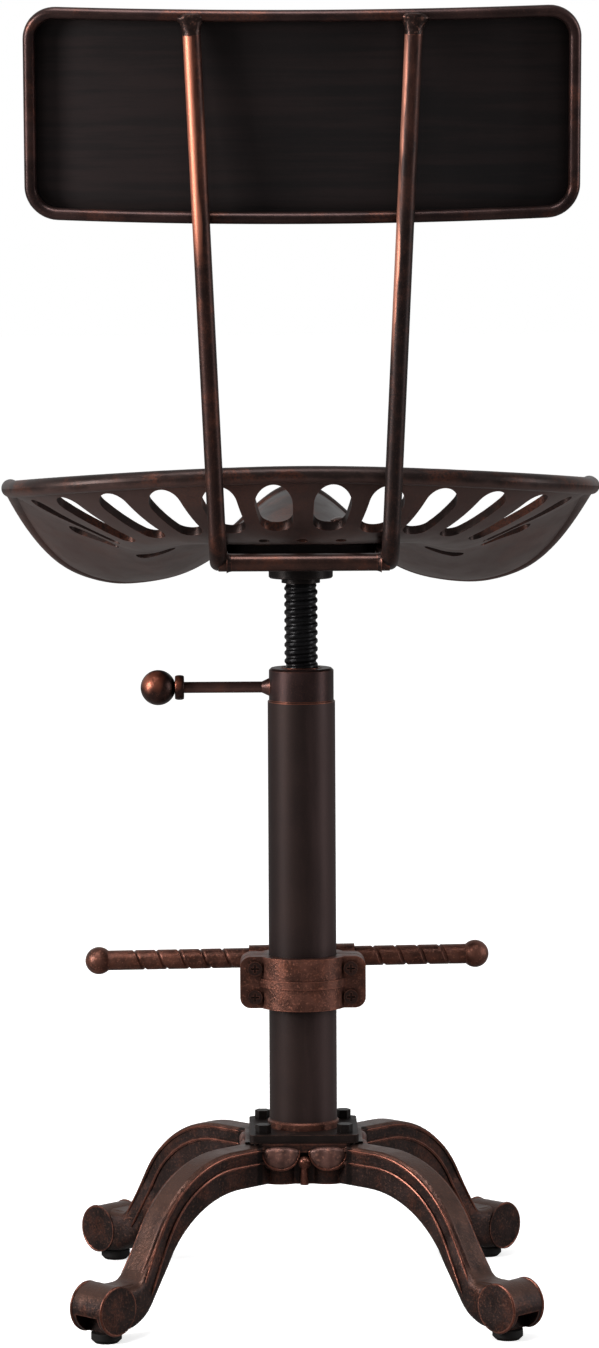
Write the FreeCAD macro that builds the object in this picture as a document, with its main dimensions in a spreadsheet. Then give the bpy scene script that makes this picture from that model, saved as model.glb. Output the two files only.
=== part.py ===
import FreeCAD, Part
import math
import os

import Sketcher
from FreeCAD import Placement, Rotation, Vector

# Tractor seat stool, millimetres. The floor is z = 0 and the column's axis is the Z axis.
# The sitter faces -Y, the backrest is at +Y and the lock lever points to +X.

SIZES = {
    # Feet and legs
    "glideCircle": 202.0,
    "glideDiameter": 22.0,
    "glideTread": 17.0,
    "glideHeight": 7.2,
    "glideBevel": 2.5,
    "studDiameter": 6.0,
    "studLength": 9.0,
    "studClearance": 0.1,
    "legWidth": 20.0,
    "legRoot": 22.0,
    "kneeStart": 81.7,
    "kneeRadius": 88.0,
    "kneeTurn": 60.0,
    "innerKneeStart": 74.0,
    "innerKneeRadius": 86.0,
    "innerKneeTurn": 52.0,
    "ankleRadius": 8.0,
    "heelRadius": 39.4,
    "scrollOffset": 3.0,
    "scrollRadius": 17.2,
    "scrollWidth": 32.0,
    "saddleDrop": 2.0,
    "hollowWidth": 22.0,
    "hollowInset": 3.0,
    "hollowRoof": 3.5,
    "hollowBelow": 3.0,
    "legRibDepth": 1.2,
    "legRibWidth": 2.2,
    "legRibFirst": 1.5,
    "legRibPitch": 9.3,
    "legRibTail": 40.0,
    "legRibStart": 50.0,
    "legEdge": 2.5,
    "legEdgeStart": 57.0,
    # Hub and plate
    "hubWidth": 76.0,
    "hubHeight": 28.5,
    "hubBottom": 91.0,
    "hubCap": 1.5,
    "lobeRadius": 17.0,
    "lobeSpread": 34.0,
    "lobeBulge": 3.0,
    "lobeDrop": 5.0,
    "leafRadius": 13.5,
    "leafSpread": 39.6,
    "leafHeight": 115.0,
    "leafRise": 2.2,
    "leafThickness": 8.0,
    "budRadius": 4.6,
    "budHeight": 107.5,
    "plateWidth": 80.0,
    "plateThickness": 6.0,
    "plateCorner": 4.0,
    "baseBoltSpacing": 60.0,
    "baseBoltDiameter": 6.0,
    "baseBoltLength": 20.0,
    "baseBoltHead": 10.0,
    "baseBoltHeadHeight": 6.4,
    "boltClearance": 0.2,
    # Column
    "columnDiameter": 50.0,
    "columnWall": 2.5,
    "columnLength": 309.0,
    "footRingHeight": 5.5,
    "footRingProud": 1.3,
    "footRingBevel": 1.0,
    "nutLength": 35.0,
    "fitClearance": 0.04,
    "runningClearance": 0.3,
    # Lock collar and lever
    "collarDiameter": 48.0,
    "collarHeight": 24.2,
    "collarBevel": 1.6,
    "leverHeight": 10.0,
    "leverDiameter": 8.3,
    "leverSocket": 9.0,
    "leverBallCentre": 106.0,
    "leverBallDiameter": 26.0,
    "leverRingDiameter": 17.5,
    "leverRingWidth": 5.6,
    "leverRingBevel": 1.2,
    "leverBallSeat": 6.5,
    "leverWeldDiameter": 14.0,
    "leverWeldLength": 6.0,
    # Screw
    "screwDiameter": 25.0,
    "screwRoot": 21.6,
    "screwPitch": 6.0,
    "screwFlank": 1.8,
    "screwCrest": 1.5,
    "screwExposed": 63.0,
    "screwTurnsUp": 15.0,
    "screwSpigot": 12.0,
    "screwHead": 20.0,
    "guideHeight": 8.0,
    "retainerDiameter": 22.0,
    "retainerHeight": 4.0,
    "spigotTail": 2.0,
    "flangeHubDiameter": 28.6,
    "flangeHubHeight": 3.5,
    "flangeDiameter": 47.6,
    "flangeHeight": 11.8,
    "flangeBevel": 1.0,
    # Swivel
    "swivelWidth": 118.0,
    "swivelCorner": 12.0,
    "swivelThickness": 3.2,
    "raceGap": 3.0,
    "cageDiameter": 81.0,
    "cageBore": 66.0,
    "cageThickness": 2.2,
    "ballDiameter": 2.9,
    "ballCount": 24,
    "ballPocket": 3.4,
    "upperPlateDiameter": 84.0,
    "rivetDiameter": 18.0,
    "rivetHead": 26.0,
    "rivetHeadHeight": 2.2,
    "rivetClearance": 0.06,
    "rivetRecess": 30.0,
    "rivetRecessDepth": 4.4,
    # Mount plate and seat bolts
    "mountThickness": 6.2,
    "mountDepth": 92.0,
    "mountCorner": 12.0,
    "seatBossHeight": 2.5,
    "seatBossWidth": 98.0,
    "seatBossDepth": 84.0,
    "seatBoltAcross": 60.0,
    "seatBoltAlong": 76.0,
    "seatBoltDiameter": 6.0,
    "seatBoltHead": 14.0,
    "seatBoltHeadHeight": 3.2,
    "seatBoltHeadEdge": 1.0,
    "seatNut": 10.0,
    "seatNutHeight": 4.8,
    "boltPadDiameter": 20.0,
    "boltPadRise": 4.2,
    # Seat pan
    "seatHalfWidth": 214.6,
    "seatRear": 165.6,
    "seatFront": 193.6,
    "seatSquareness": 2.5,
    "seatNotch": 0.25,
    "seatNotchWidth": 60.0,
    "seatWall": 5.5,
    "seatRearRise": 54.0,
    "seatSideRise": 36.0,
    "seatFlat": 0.45,
    "seatRisePower": 2.2,
    "seatTrough": 10.0,
    "seatTroughPlace": 118.0,
    "seatTroughWidth": 28.0,
    "seatLipDrop": 43.0,
    "seatPommel": 67.0,
    "seatPommelWidth": 60.0,
    "seatLipRise": 60.0,
    "seatLipPlace": 125.0,
    "seatLipReach": 96.0,
    "seatLipPower": 2.2,
    "seatLipDepth": 140.0,
    "seatBead": 12.6,
    "seatSkinMargin": 13.4,
    "cutterReach": 130.0,
    "slotCount": 7,
    "slotSpacing": 43.0,
    "slotStart": 0.745,
    "slotStartStep": 0.018,
    "slotEnd": 0.987,
    "slotEndStep": 0.004,
    "slotNarrow": 24.0,
    "slotNarrowStep": 2.2,
    "slotWide": 27.0,
    "slotWideStep": 1.5,
    "frontSlotTurn": 101.0,
    "frontSlotStart": 0.635,
    "frontSlotEnd": 0.81,
    "frontSlotNarrow": 9.0,
    "frontSlotWide": 15.0,
    "lastSlotTurn": 109.0,
    "lastSlotStart": 0.45,
    "lastSlotEnd": 0.59,
    "lastSlotNarrow": 10.0,
    "lastSlotWide": 13.0,
    "smallHoleTurn": 15.0,
    "smallHole": 8.0,
    "smallHolePlace": 0.63,
    # Back frame and backrest
    "backRodDiameter": 12.5,
    "backRodArm": 60.44,
    "backRodTop": 77.8,
    "backRodBend": 25.0,
    "backRodFront": -5.0,
    "crossRodPlace": 172.0,
    "armHeight": 555.85,
    "panelWidth": 391.0,
    "panelHeight": 151.4,
    "panelCorner": 23.5,
    "panelCurve": 777.0,
    "panelSheet": 1.8,
    "panelDepth": 12.0,
    "panelRim": 8.6,
    "panelLean": 11.0,
    "panelBottom": 801.3,
    "panelPlace": 205.4,
    "contactGap": 0.2,
    # Footrest
    "clampBottom": 216.0,
    "clampHeight": 38.0,
    "clampWall": 7.7,
    "clampWidth": 92.8,
    "clampDepth": 27.0,
    "clampCorner": 8.0,
    "clampSplit": 1.2,
    "clampRib": 6.0,
    "clampRibRise": 1.4,
    "clampBoltSpacing": 70.8,
    "clampBoltPitch": 21.0,
    "clampBoltDiameter": 6.0,
    "clampScrewHead": 10.9,
    "clampScrewHeadHeight": 3.6,
    "clampNut": 10.0,
    "clampNutHeight": 5.0,
    "recessLength": 6.0,
    "recessWidth": 1.3,
    "recessDepth": 1.8,
    "barPlace": 45.0,
    "barHeight": 29.0,
    "barDiameter": 14.7,
    "barShift": 11.0,
    "barTilt": 0.7,
    "grooveStart": 40.0,
    "groovePitch": 16.5,
    "grooveTurns": 5.0,
    "grooveDepth": 1.0,
    "grooveCutter": 3.4,
    "barBallDiameter": 20.3,
    "barBallCentre": 141.0,
    "barBallSeat": 2.0,
    "sleeveDiameter": 18.7,
    "sleeveLength": 79.0,
    "bossWidth": 40.0,
    "bossHeight": 17.0,
}

document = FreeCAD.newDocument("TractorSeatStool")
sheet = document.addObject("Spreadsheet::Sheet", "Dims")


class Measure:
    """A size together with the spreadsheet formula that drives it."""

    def __init__(self, value, formula):
        self.value = value
        self.formula = formula

    def combined(self, other, sign, value):
        return Measure(value, "(%s %s %s)" % (self.formula, sign, other.formula))

    def __add__(self, other):
        other = measure(other)
        return self.combined(other, "+", self.value + other.value)

    def __radd__(self, other):
        return measure(other) + self

    def __sub__(self, other):
        other = measure(other)
        return self.combined(other, "-", self.value - other.value)

    def __rsub__(self, other):
        return measure(other) - self

    def __mul__(self, other):
        other = measure(other)
        return self.combined(other, "*", self.value * other.value)

    def __rmul__(self, other):
        return measure(other) * self

    def __truediv__(self, other):
        other = measure(other)
        return self.combined(other, "/", self.value / other.value)

    def __neg__(self):
        return measure(-1) * self


def measure(number):
    if isinstance(number, Measure):
        return number
    return Measure(float(number), "(%.6f)" % number)


def sine(angle):
    angle = measure(angle)
    return Measure(math.sin(math.radians(angle.value)), "sin(%s * 1 deg)" % angle.formula)


def cosine(angle):
    angle = measure(angle)
    return Measure(math.cos(math.radians(angle.value)), "cos(%s * 1 deg)" % angle.formula)


class Dimensions:
    """The driving sizes, each under its own name."""


d = Dimensions()
for row, (sizeName, size) in enumerate(SIZES.items(), start=1):
    sheet.set("A%d" % row, sizeName)
    sheet.set("B%d" % row, "%s" % size)
    sheet.setAlias("B%d" % row, sizeName)
    setattr(d, sizeName, Measure(float(size), "Dims.%s" % sizeName))
document.recompute()

# Levels up the stool
footBottom = d.glideHeight
hubTop = d.hubBottom + d.hubHeight + d.hubCap
plateTop = hubTop + d.plateThickness
tubeBottom = plateTop + d.footRingHeight
tubeTop = tubeBottom + d.columnLength
nutBottom = tubeTop - d.nutLength
collarBottom = tubeTop + d.runningClearance
collarTop = collarBottom + d.collarHeight
leverLevel = collarBottom + d.leverHeight
screwTop = collarTop + d.screwExposed
screwShoulder = nutBottom - d.screwTurnsUp * d.screwPitch
flangeBottom = screwTop + d.flangeHubHeight
lowerPlateBottom = flangeBottom + d.flangeHeight
recessFloor = lowerPlateBottom - d.rivetRecessDepth
lowerPlateTop = lowerPlateBottom + d.swivelThickness
upperPlateBottom = lowerPlateTop + d.raceGap
upperPlateTop = upperPlateBottom + d.swivelThickness
mountTop = upperPlateTop + d.mountThickness
seatUnderside = mountTop + d.seatBossHeight
seatCentre = seatUnderside + d.seatWall
clampTop = d.clampBottom + d.clampHeight
barLevel = d.clampBottom + d.barHeight

nodes = {}


def bind(thing, path, size):
    thing.setExpression(path, measure(size).formula)


def place(thing, x=0, y=0, z=0, rotation=None):
    sizes = [measure(x), measure(y), measure(z)]
    base = Vector(sizes[0].value, sizes[1].value, sizes[2].value)
    thing.Placement = Placement(base, rotation or Rotation())
    for path, size in zip(("x", "y", "z"), sizes):
        if "Dims" in size.formula:
            bind(thing, "Placement.Base." + path, size)
    return thing


def node(name, thing):
    thing.Label = name
    nodes[name] = thing
    return thing


# Sketches and bodies

def newBody(name):
    return document.addObject("PartDesign::Body", name)


def newSketch(body, name, plane, turn=0, offset=0):
    sketch = body.newObject("Sketcher::SketchObject", name)
    origin = [feature for feature in body.Origin.OriginFeatures if feature.Role == plane][0]
    sketch.AttachmentSupport = (origin, [""])
    sketch.MapMode = "FlatFace"
    offset = measure(offset)
    upright = Vector(0, 1, 0) if plane == "XZ_Plane" else Vector(0, 0, 1)
    sketch.AttachmentOffset = Placement(Vector(0, 0, offset.value), Rotation(upright, turn))
    if "Dims" in offset.formula:
        bind(sketch, "AttachmentOffset.Base.z", offset)
    return sketch


def pin(sketch, geometry, point, x, y):
    """Hold one sketch point at its place from the origin."""
    for kind, size, axis in (("DistanceX", measure(x), -2), ("DistanceY", measure(y), -1)):
        if abs(size.value) < 1e-9:
            sketch.addConstraint(Sketcher.Constraint("PointOnObject", geometry, point, axis))
            continue
        ends = (-1, 1, geometry, point)
        if size.value < 0:
            ends = (geometry, point, -1, 1)
            size = -size
        index = sketch.addConstraint(Sketcher.Constraint(kind, *ends, size.value))
        if "Dims" in size.formula:
            bind(sketch, "Constraints[%d]" % index, size)


def arcBetween(start, end, radius):
    """An arc from start to end: to the left for a positive radius, to the right for a negative one."""
    middle = (start + end) * 0.5
    chord = end - start
    rise = math.sqrt(max(radius * radius - (chord.Length / 2) ** 2, 0.0))
    side = Vector(-chord.y, chord.x, 0).normalize()
    centre = middle + side * (rise if radius > 0 else -rise)
    first = start if radius > 0 else end
    last = end if radius > 0 else start
    begin = math.atan2(first.y - centre.y, first.x - centre.x)
    finish = math.atan2(last.y - centre.y, last.x - centre.x)
    circle = Part.Circle(centre, Vector(0, 0, 1), abs(radius))
    return Part.ArcOfCircle(circle, begin, finish)


def outline(sketch, corners):
    """A closed outline. A third value is the radius of the arc that leads to that corner."""
    points = [Vector(measure(corner[0]).value, measure(corner[1]).value, 0) for corner in corners]
    firsts = []
    lasts = []
    count = len(corners)
    for index in range(count):
        following = corners[(index + 1) % count]
        start = points[index]
        end = points[(index + 1) % count]
        if len(following) < 3:
            number = sketch.addGeometry(Part.LineSegment(start, end))
            firsts.append((number, 1))
            lasts.append((number, 2))
            continue
        radius = measure(following[2])
        number = sketch.addGeometry(arcBetween(start, end, radius.value))
        leftwards = radius.value > 0
        firsts.append((number, 1 if leftwards else 2))
        lasts.append((number, 2 if leftwards else 1))
        size = radius if leftwards else -radius
        held = sketch.addConstraint(Sketcher.Constraint("Radius", number, size.value))
        bind(sketch, "Constraints[%d]" % held, size)
    for index in range(count):
        ends = lasts[index - 1] + firsts[index]
        sketch.addConstraint(Sketcher.Constraint("Coincident", *ends))
        pin(sketch, firsts[index][0], firsts[index][1], corners[index][0], corners[index][1])


def circle(sketch, x, y, diameter):
    x = measure(x)
    y = measure(y)
    diameter = measure(diameter)
    shape = Part.Circle(Vector(x.value, y.value, 0), Vector(0, 0, 1), diameter.value / 2)
    number = sketch.addGeometry(shape)
    held = sketch.addConstraint(Sketcher.Constraint("Diameter", number, diameter.value))
    bind(sketch, "Constraints[%d]" % held, diameter)
    pin(sketch, number, 3, x, y)


def roundedRectangle(sketch, width, height, corner):
    """A rectangle about the origin with round corners."""
    x = width / 2
    y = height / 2
    outline(sketch, [
        (corner - x, -y, corner),
        (x - corner, -y),
        (x, corner - y, corner),
        (x, y - corner),
        (x - corner, y, corner),
        (corner - x, y),
        (-x, y - corner, corner),
        (-x, corner - y),
    ])


def pad(body, sketch, length, symmetric=False, backwards=False):
    feature = body.newObject("PartDesign::Pad", sketch.Name + "Pad")
    feature.Profile = sketch
    feature.Length = measure(length).value
    bind(feature, "Length", length)
    if symmetric:
        feature.SideType = "Symmetric"
    feature.Reversed = backwards
    return feature


def pocket(body, sketch, length, symmetric=False, backwards=False):
    feature = body.newObject("PartDesign::Pocket", sketch.Name + "Pocket")
    feature.Profile = sketch
    feature.Length = measure(length).value
    bind(feature, "Length", length)
    if symmetric:
        feature.SideType = "Symmetric"
    feature.Reversed = backwards
    return feature


def quarterPattern(body, name, features):
    pattern = body.newObject("PartDesign::PolarPattern", name)
    pattern.Originals = features
    axis = [feature for feature in body.Origin.OriginFeatures if feature.Role == "Z_Axis"][0]
    pattern.Axis = (axis, [""])
    pattern.Angle = 360
    pattern.Occurrences = 4
    body.Tip = pattern
    return pattern


def turned(name, corners):
    """A body turned about the Z axis from a profile of radii and levels."""
    body = newBody(name)
    sketch = newSketch(body, name + "Profile", "XZ_Plane")
    outline(sketch, corners)
    feature = body.newObject("PartDesign::Revolution", name + "Turning")
    feature.Profile = sketch
    feature.ReferenceAxis = (sketch, ["V_Axis"])
    feature.Angle = 360
    return body


def cylinder(name, diameter, height, x=0, y=0, z=0, rotation=None):
    thing = document.addObject("Part::Cylinder", name)
    bind(thing, "Radius", measure(diameter) / 2)
    bind(thing, "Height", height)
    return place(thing, x, y, z, rotation)


def ball(name, diameter, x=0, y=0, z=0):
    thing = document.addObject("Part::Sphere", name)
    bind(thing, "Radius", measure(diameter) / 2)
    return place(thing, x, y, z)


def block(name, length, width, height, x=0, y=0, z=0):
    """A block about x and y, standing on z."""
    thing = document.addObject("Part::Box", name)
    bind(thing, "Length", length)
    bind(thing, "Width", width)
    bind(thing, "Height", height)
    return place(thing, measure(x) - measure(length) / 2, measure(y) - measure(width) / 2, z)


def hexagon(name, across, height, x=0, y=0, z=0, rotation=None):
    thing = document.addObject("Part::Prism", name)
    thing.Polygon = 6
    bind(thing, "Circumradius", measure(across) / 2 / cosine(30))
    bind(thing, "Height", height)
    return place(thing, x, y, z, rotation)


def fused(name, things):
    result = document.addObject("Part::MultiFuse", name)
    result.Shapes = things
    return result


def cut(name, base, tool):
    result = document.addObject("Part::Cut", name)
    result.Base = base
    result.Tool = tool
    return result


def group(name, things):
    result = document.addObject("Part::Compound", name)
    result.Links = things
    return result


def shaped(name, shape):
    result = document.addObject("Part::Feature", name)
    result.Shape = shape
    return result


FOUR_CORNERS = ((1, 1), (-1, 1), (-1, -1), (1, -1))
CLOSE = 0.01
ALONG_X = Rotation(Vector(0, 1, 0), 90)
ALONG_Y = Rotation(Vector(1, 0, 0), -90)


# Base casting: a square hub with four legs on its diagonals

def legOutline():
    """Radii and levels of one leg, from its root over the knee to the scroll and back below."""
    legTop = d.hubBottom + d.hubHeight
    kneeEnd = d.kneeStart + d.kneeRadius * sine(d.kneeTurn)
    kneeLevel = legTop - d.kneeRadius * (1 - cosine(d.kneeTurn))
    saddle = footBottom + d.scrollRadius * 2 - d.saddleDrop
    saddleCorner = kneeEnd + (kneeLevel - saddle) * cosine(d.kneeTurn) / sine(d.kneeTurn)
    tangent = d.ankleRadius * (1 - cosine(d.kneeTurn)) / sine(d.kneeTurn)
    scroll = d.glideCircle + d.scrollOffset
    innerEnd = d.innerKneeStart + d.innerKneeRadius * sine(d.innerKneeTurn)
    innerLevel = d.hubBottom - d.innerKneeRadius * (1 - cosine(d.innerKneeTurn))
    heelLevel = footBottom + d.heelRadius * (1 - cosine(d.innerKneeTurn))
    heelSlope = cosine(d.innerKneeTurn) / sine(d.innerKneeTurn)
    heelEnd = innerEnd + (innerLevel - heelLevel) * heelSlope
    heelStart = heelEnd + d.heelRadius * sine(d.innerKneeTurn)
    return [
        (d.legRoot, legTop),
        (d.kneeStart, legTop),
        (kneeEnd, kneeLevel, -d.kneeRadius),
        (saddleCorner - tangent * cosine(d.kneeTurn), saddle + tangent * sine(d.kneeTurn)),
        (saddleCorner + tangent, saddle, d.ankleRadius),
        (scroll, saddle),
        (scroll, footBottom),
        (heelStart, footBottom),
        (heelEnd, heelLevel, -d.heelRadius),
        (innerEnd, innerLevel),
        (d.innerKneeStart, d.hubBottom, d.innerKneeRadius),
        (d.legRoot, d.hubBottom),
    ]


def ribOutline(inset):
    """A band that follows the top of the leg, inset from it."""
    centre = d.hubBottom + d.hubHeight - d.kneeRadius
    outer = d.kneeRadius - inset
    inner = outer - d.legRibWidth
    tailRun = d.legRibTail * cosine(d.kneeTurn)
    tailDrop = d.legRibTail * sine(d.kneeTurn)
    outerEnd = d.kneeStart + outer * sine(d.kneeTurn)
    outerLevel = centre + outer * cosine(d.kneeTurn)
    innerEnd = d.kneeStart + inner * sine(d.kneeTurn)
    innerLevel = centre + inner * cosine(d.kneeTurn)
    return [
        (d.legRibStart, centre + outer),
        (d.kneeStart, centre + outer),
        (outerEnd, outerLevel, -outer),
        (outerEnd + tailRun, outerLevel - tailDrop),
        (innerEnd + tailRun, innerLevel - tailDrop),
        (innerEnd, innerLevel),
        (d.kneeStart, centre + inner, inner),
        (d.legRibStart, centre + inner),
    ]


def longLegEdges(shape):
    """The edges along the two side faces of each leg, between hub and scroll."""
    half = d.legWidth.value / 2
    outermost = d.glideCircle.value - d.scrollRadius.value
    shortest = 3 * d.legEdge.value
    names = []
    for number, edge in enumerate(shape.Edges, start=1):
        points = [edge.valueAt(edge.FirstParameter), edge.valueAt(edge.LastParameter)]
        points.append(edge.valueAt((edge.FirstParameter + edge.LastParameter) / 2))
        beside = all(abs(abs(abs(p.x) - abs(p.y)) / math.sqrt(2) - half) < CLOSE for p in points)
        along = (abs(points[2].x) + abs(points[2].y)) / math.sqrt(2)
        if beside and d.legEdgeStart.value < along < outermost and edge.Length > shortest:
            names.append("Edge%d" % number)
    return names


def makeBaseCasting():
    body = newBody("BaseCasting")
    scroll = d.glideCircle + d.scrollOffset
    scrollLevel = footBottom + d.scrollRadius
    hub = newSketch(body, "HubSquare", "XY_Plane", 0, d.hubBottom)
    roundedRectangle(hub, d.hubWidth, d.hubWidth, d.plateCorner)
    pad(body, hub, d.hubHeight + d.hubCap)
    leg = newSketch(body, "LegSide", "XZ_Plane", 45)
    outline(leg, legOutline())
    legPad = pad(body, leg, d.legWidth, True)
    document.recompute()
    quarterPattern(body, "FourLegs", [legPad])
    document.recompute()
    rounding = body.newObject("PartDesign::Fillet", "LegRounding")
    rounding.Base = (document.getObject("FourLegs"), longLegEdges(document.getObject("FourLegs").Shape))
    bind(rounding, "Radius", d.legEdge)
    document.recompute()
    drum = newSketch(body, "ScrollDrum", "XZ_Plane", 45)
    circle(drum, scroll, scrollLevel, d.scrollRadius * 2)
    drumPad = pad(body, drum, d.scrollWidth, True)
    ribs = newSketch(body, "LegRibs", "XZ_Plane", 45)
    outline(ribs, ribOutline(d.legRibFirst))
    outline(ribs, ribOutline(d.legRibFirst + d.legRibPitch))
    ribPad = pad(body, ribs, d.legWidth + d.legRibDepth * 2, True)
    lobes = newSketch(body, "SkirtLobes", "XY_Plane", 0, d.hubBottom)
    lobePlace = d.hubWidth / 2 + d.lobeBulge - d.lobeRadius
    circle(lobes, d.lobeSpread / 2, lobePlace, d.lobeRadius * 2)
    lobePad = pad(body, lobes, d.hubHeight - d.lobeDrop)
    lobesLeft = newSketch(body, "SkirtLobesLeft", "XY_Plane", 0, d.hubBottom)
    circle(lobesLeft, -d.lobeSpread / 2, lobePlace, d.lobeRadius * 2)
    lobeLeftPad = pad(body, lobesLeft, d.hubHeight - d.lobeDrop)
    leafFace = d.hubWidth / 2 + d.lobeBulge + d.leafRise
    innerTip = d.leafSpread / 2 - d.leafRadius
    outerTip = d.leafSpread / 2 + d.leafRadius
    leafFoot = d.leafHeight - d.leafRadius
    leaf = newSketch(body, "Leaf", "XZ_Plane", 0, -leafFace)
    outline(leaf, [
        (-outerTip, hubTop),
        (-outerTip, d.leafHeight),
        (-d.leafSpread / 2, leafFoot, d.leafRadius),
        (-innerTip, d.leafHeight, d.leafRadius),
        (innerTip, d.leafHeight),
        (d.leafSpread / 2, leafFoot, d.leafRadius),
        (outerTip, d.leafHeight, d.leafRadius),
        (outerTip, hubTop),
    ])
    leafPad = pad(body, leaf, d.leafThickness)
    bud = newSketch(body, "LeafBud", "XZ_Plane", 0, -leafFace - d.leafRise / 2)
    circle(bud, 0, d.budHeight, d.budRadius * 2)
    budPad = pad(body, bud, d.leafThickness)
    document.recompute()
    quarterPattern(body, "FourSides", [drumPad, ribPad, lobePad, lobeLeftPad, leafPad, budPad])
    document.recompute()
    hollow = newSketch(body, "ScrollHollow", "XZ_Plane", 45)
    hollowEdge = scroll + d.hollowInset
    reach = scroll + d.scrollRadius + d.hollowBelow
    outline(hollow, [
        (hollowEdge, footBottom - d.hollowBelow),
        (reach, footBottom - d.hollowBelow),
        (reach, scrollLevel - d.hollowRoof),
        (hollowEdge, scrollLevel - d.hollowRoof),
    ])
    hollowPocket = pocket(body, hollow, d.hollowWidth, True)
    stud = newSketch(body, "GlideStudHole", "XY_Plane", 0, footBottom)
    studPlace = d.glideCircle * cosine(45)
    circle(stud, studPlace, studPlace, d.studDiameter + d.studClearance * 2)
    studPocket = pocket(body, stud, d.studLength + d.studClearance, False, True)
    bolt = newSketch(body, "BaseBoltHole", "XY_Plane", 0, hubTop)
    circle(bolt, d.baseBoltSpacing / 2, d.baseBoltSpacing / 2, d.baseBoltDiameter + d.boltClearance * 2)
    boltPocket = pocket(body, bolt, d.baseBoltLength)
    document.recompute()
    quarterPattern(body, "FourHollows", [hollowPocket, studPocket, boltPocket])
    node("base_casting", body)


def makeBase():
    makeBaseCasting()
    plate = newBody("BasePlate")
    face = newSketch(plate, "PlateFace", "XY_Plane", 0, hubTop)
    roundedRectangle(face, d.plateWidth, d.plateWidth, d.plateCorner)
    pad(plate, face, d.plateThickness)
    holes = newSketch(plate, "PlateHole", "XY_Plane", 0, plateTop)
    circle(holes, d.baseBoltSpacing / 2, d.baseBoltSpacing / 2, d.baseBoltDiameter + d.boltClearance * 2)
    hole = pocket(plate, holes, d.plateThickness)
    document.recompute()
    quarterPattern(plate, "PlateHoles", [hole])
    node("base_plate", plate)
    bolts = []
    glides = []
    studs = []
    half = d.baseBoltSpacing / 2
    glidePlace = d.glideCircle * cosine(45)
    for number, (x, y) in enumerate(FOUR_CORNERS, start=1):
        head = hexagon("BaseBoltHead%d" % number, d.baseBoltHead, d.baseBoltHeadHeight,
                       half * x, half * y, plateTop)
        shank = cylinder("BaseBoltShank%d" % number, d.baseBoltDiameter,
                         d.baseBoltLength - d.boltClearance + d.plateThickness,
                         half * x, half * y, hubTop - d.baseBoltLength + d.boltClearance)
        bolts.append(fused("BaseBolt%d" % number, [head, shank]))
        foot = turned("Glide%d" % number, [
            (0, 0),
            (d.glideTread / 2, 0),
            (d.glideDiameter / 2, d.glideBevel),
            (d.glideDiameter / 2, footBottom),
            (0, footBottom),
        ])
        glides.append(place(foot, glidePlace * x, glidePlace * y, 0))
        studs.append(cylinder("GlideStud%d" % number, d.studDiameter, d.studLength,
                              glidePlace * x, glidePlace * y, footBottom))
    node("base_bolts", group("BaseBolts", bolts))
    node("foot_glides", group("FootGlides", glides))
    node("glide_studs", group("GlideStuds", studs))
    outer = d.columnDiameter / 2
    ringOuter = outer + d.footRingProud
    bore = outer - d.columnWall
    node("column_foot_ring", turned("ColumnFootRing", [
        (bore, plateTop),
        (ringOuter, plateTop),
        (ringOuter, tubeBottom - d.footRingBevel),
        (ringOuter - d.footRingBevel, tubeBottom),
        (bore, tubeBottom),
    ]))
    node("column_tube", turned("ColumnTube", [
        (bore, tubeBottom),
        (outer, tubeBottom),
        (outer, tubeTop),
        (bore, tubeTop),
    ]))
    screwBore = d.screwDiameter / 2 + d.runningClearance
    node("column_nut", turned("ColumnNut", [
        (screwBore, nutBottom),
        (bore - d.fitClearance, nutBottom),
        (bore - d.fitClearance, tubeTop),
        (screwBore, tubeTop),
    ]))


# Lock collar and its lever

def makeLock():
    outer = d.collarDiameter / 2
    bore = d.screwDiameter / 2 + d.runningClearance
    blank = turned("CollarBlank", [
        (bore, collarBottom),
        (outer, collarBottom),
        (outer, collarTop - d.collarBevel),
        (outer - d.collarBevel, collarTop),
        (bore, collarTop),
    ])
    socket = cylinder("LeverSocket", d.leverDiameter + d.fitClearance * 2, d.leverSocket + d.collarBevel,
                      outer - d.leverSocket, 0, leverLevel, ALONG_X)
    node("lock_collar", cut("LockCollar", blank, socket))
    rodStart = outer - d.leverSocket
    rodEnd = d.leverBallCentre - d.leverBallDiameter / 2 + d.leverBallSeat
    rod = cylinder("LeverShaft", d.leverDiameter, rodEnd - rodStart, rodStart, 0, leverLevel, ALONG_X)
    weld = document.addObject("Part::Cone", "LeverWeldCone")
    bind(weld, "Radius1", d.leverWeldDiameter / 2)
    bind(weld, "Radius2", d.leverDiameter / 2)
    bind(weld, "Height", d.leverWeldLength)
    place(weld, outer - d.collarBevel / 2, 0, leverLevel, ALONG_X)
    collarSpace = cylinder("WeldSeat", d.collarDiameter + d.fitClearance, d.collarHeight, 0, 0, collarBottom)
    bead = cut("LeverWeld", weld, collarSpace)
    node("lever_rod", fused("LeverRod", [rod, bead]))
    ringEnd = d.leverBallCentre - d.leverBallDiameter / 2
    ringEdge = d.leverRingDiameter / 2
    ringBore = d.leverDiameter / 2 + d.fitClearance
    ringBody = turned("LeverRingBody", [
        (ringBore, 0),
        (ringEdge - d.leverRingBevel, 0),
        (ringEdge, d.leverRingBevel),
        (ringEdge, d.leverRingWidth - d.leverRingBevel),
        (ringEdge - d.leverRingBevel, d.leverRingWidth),
        (ringBore, d.leverRingWidth),
    ])
    node("lever_ring", place(ringBody, ringEnd - d.leverRingWidth, 0, leverLevel, ALONG_X))
    knob = ball("LeverKnob", d.leverBallDiameter, d.leverBallCentre, 0, leverLevel)
    hole = cylinder("LeverKnobHole", d.leverDiameter + d.fitClearance * 2,
                    d.leverBallSeat + d.leverRingWidth + d.fitClearance,
                    ringEnd - d.leverRingWidth, 0, leverLevel, ALONG_X)
    node("lever_ball", cut("LeverBall", knob, hole))


# Height screw, its guide and its flange

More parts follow.
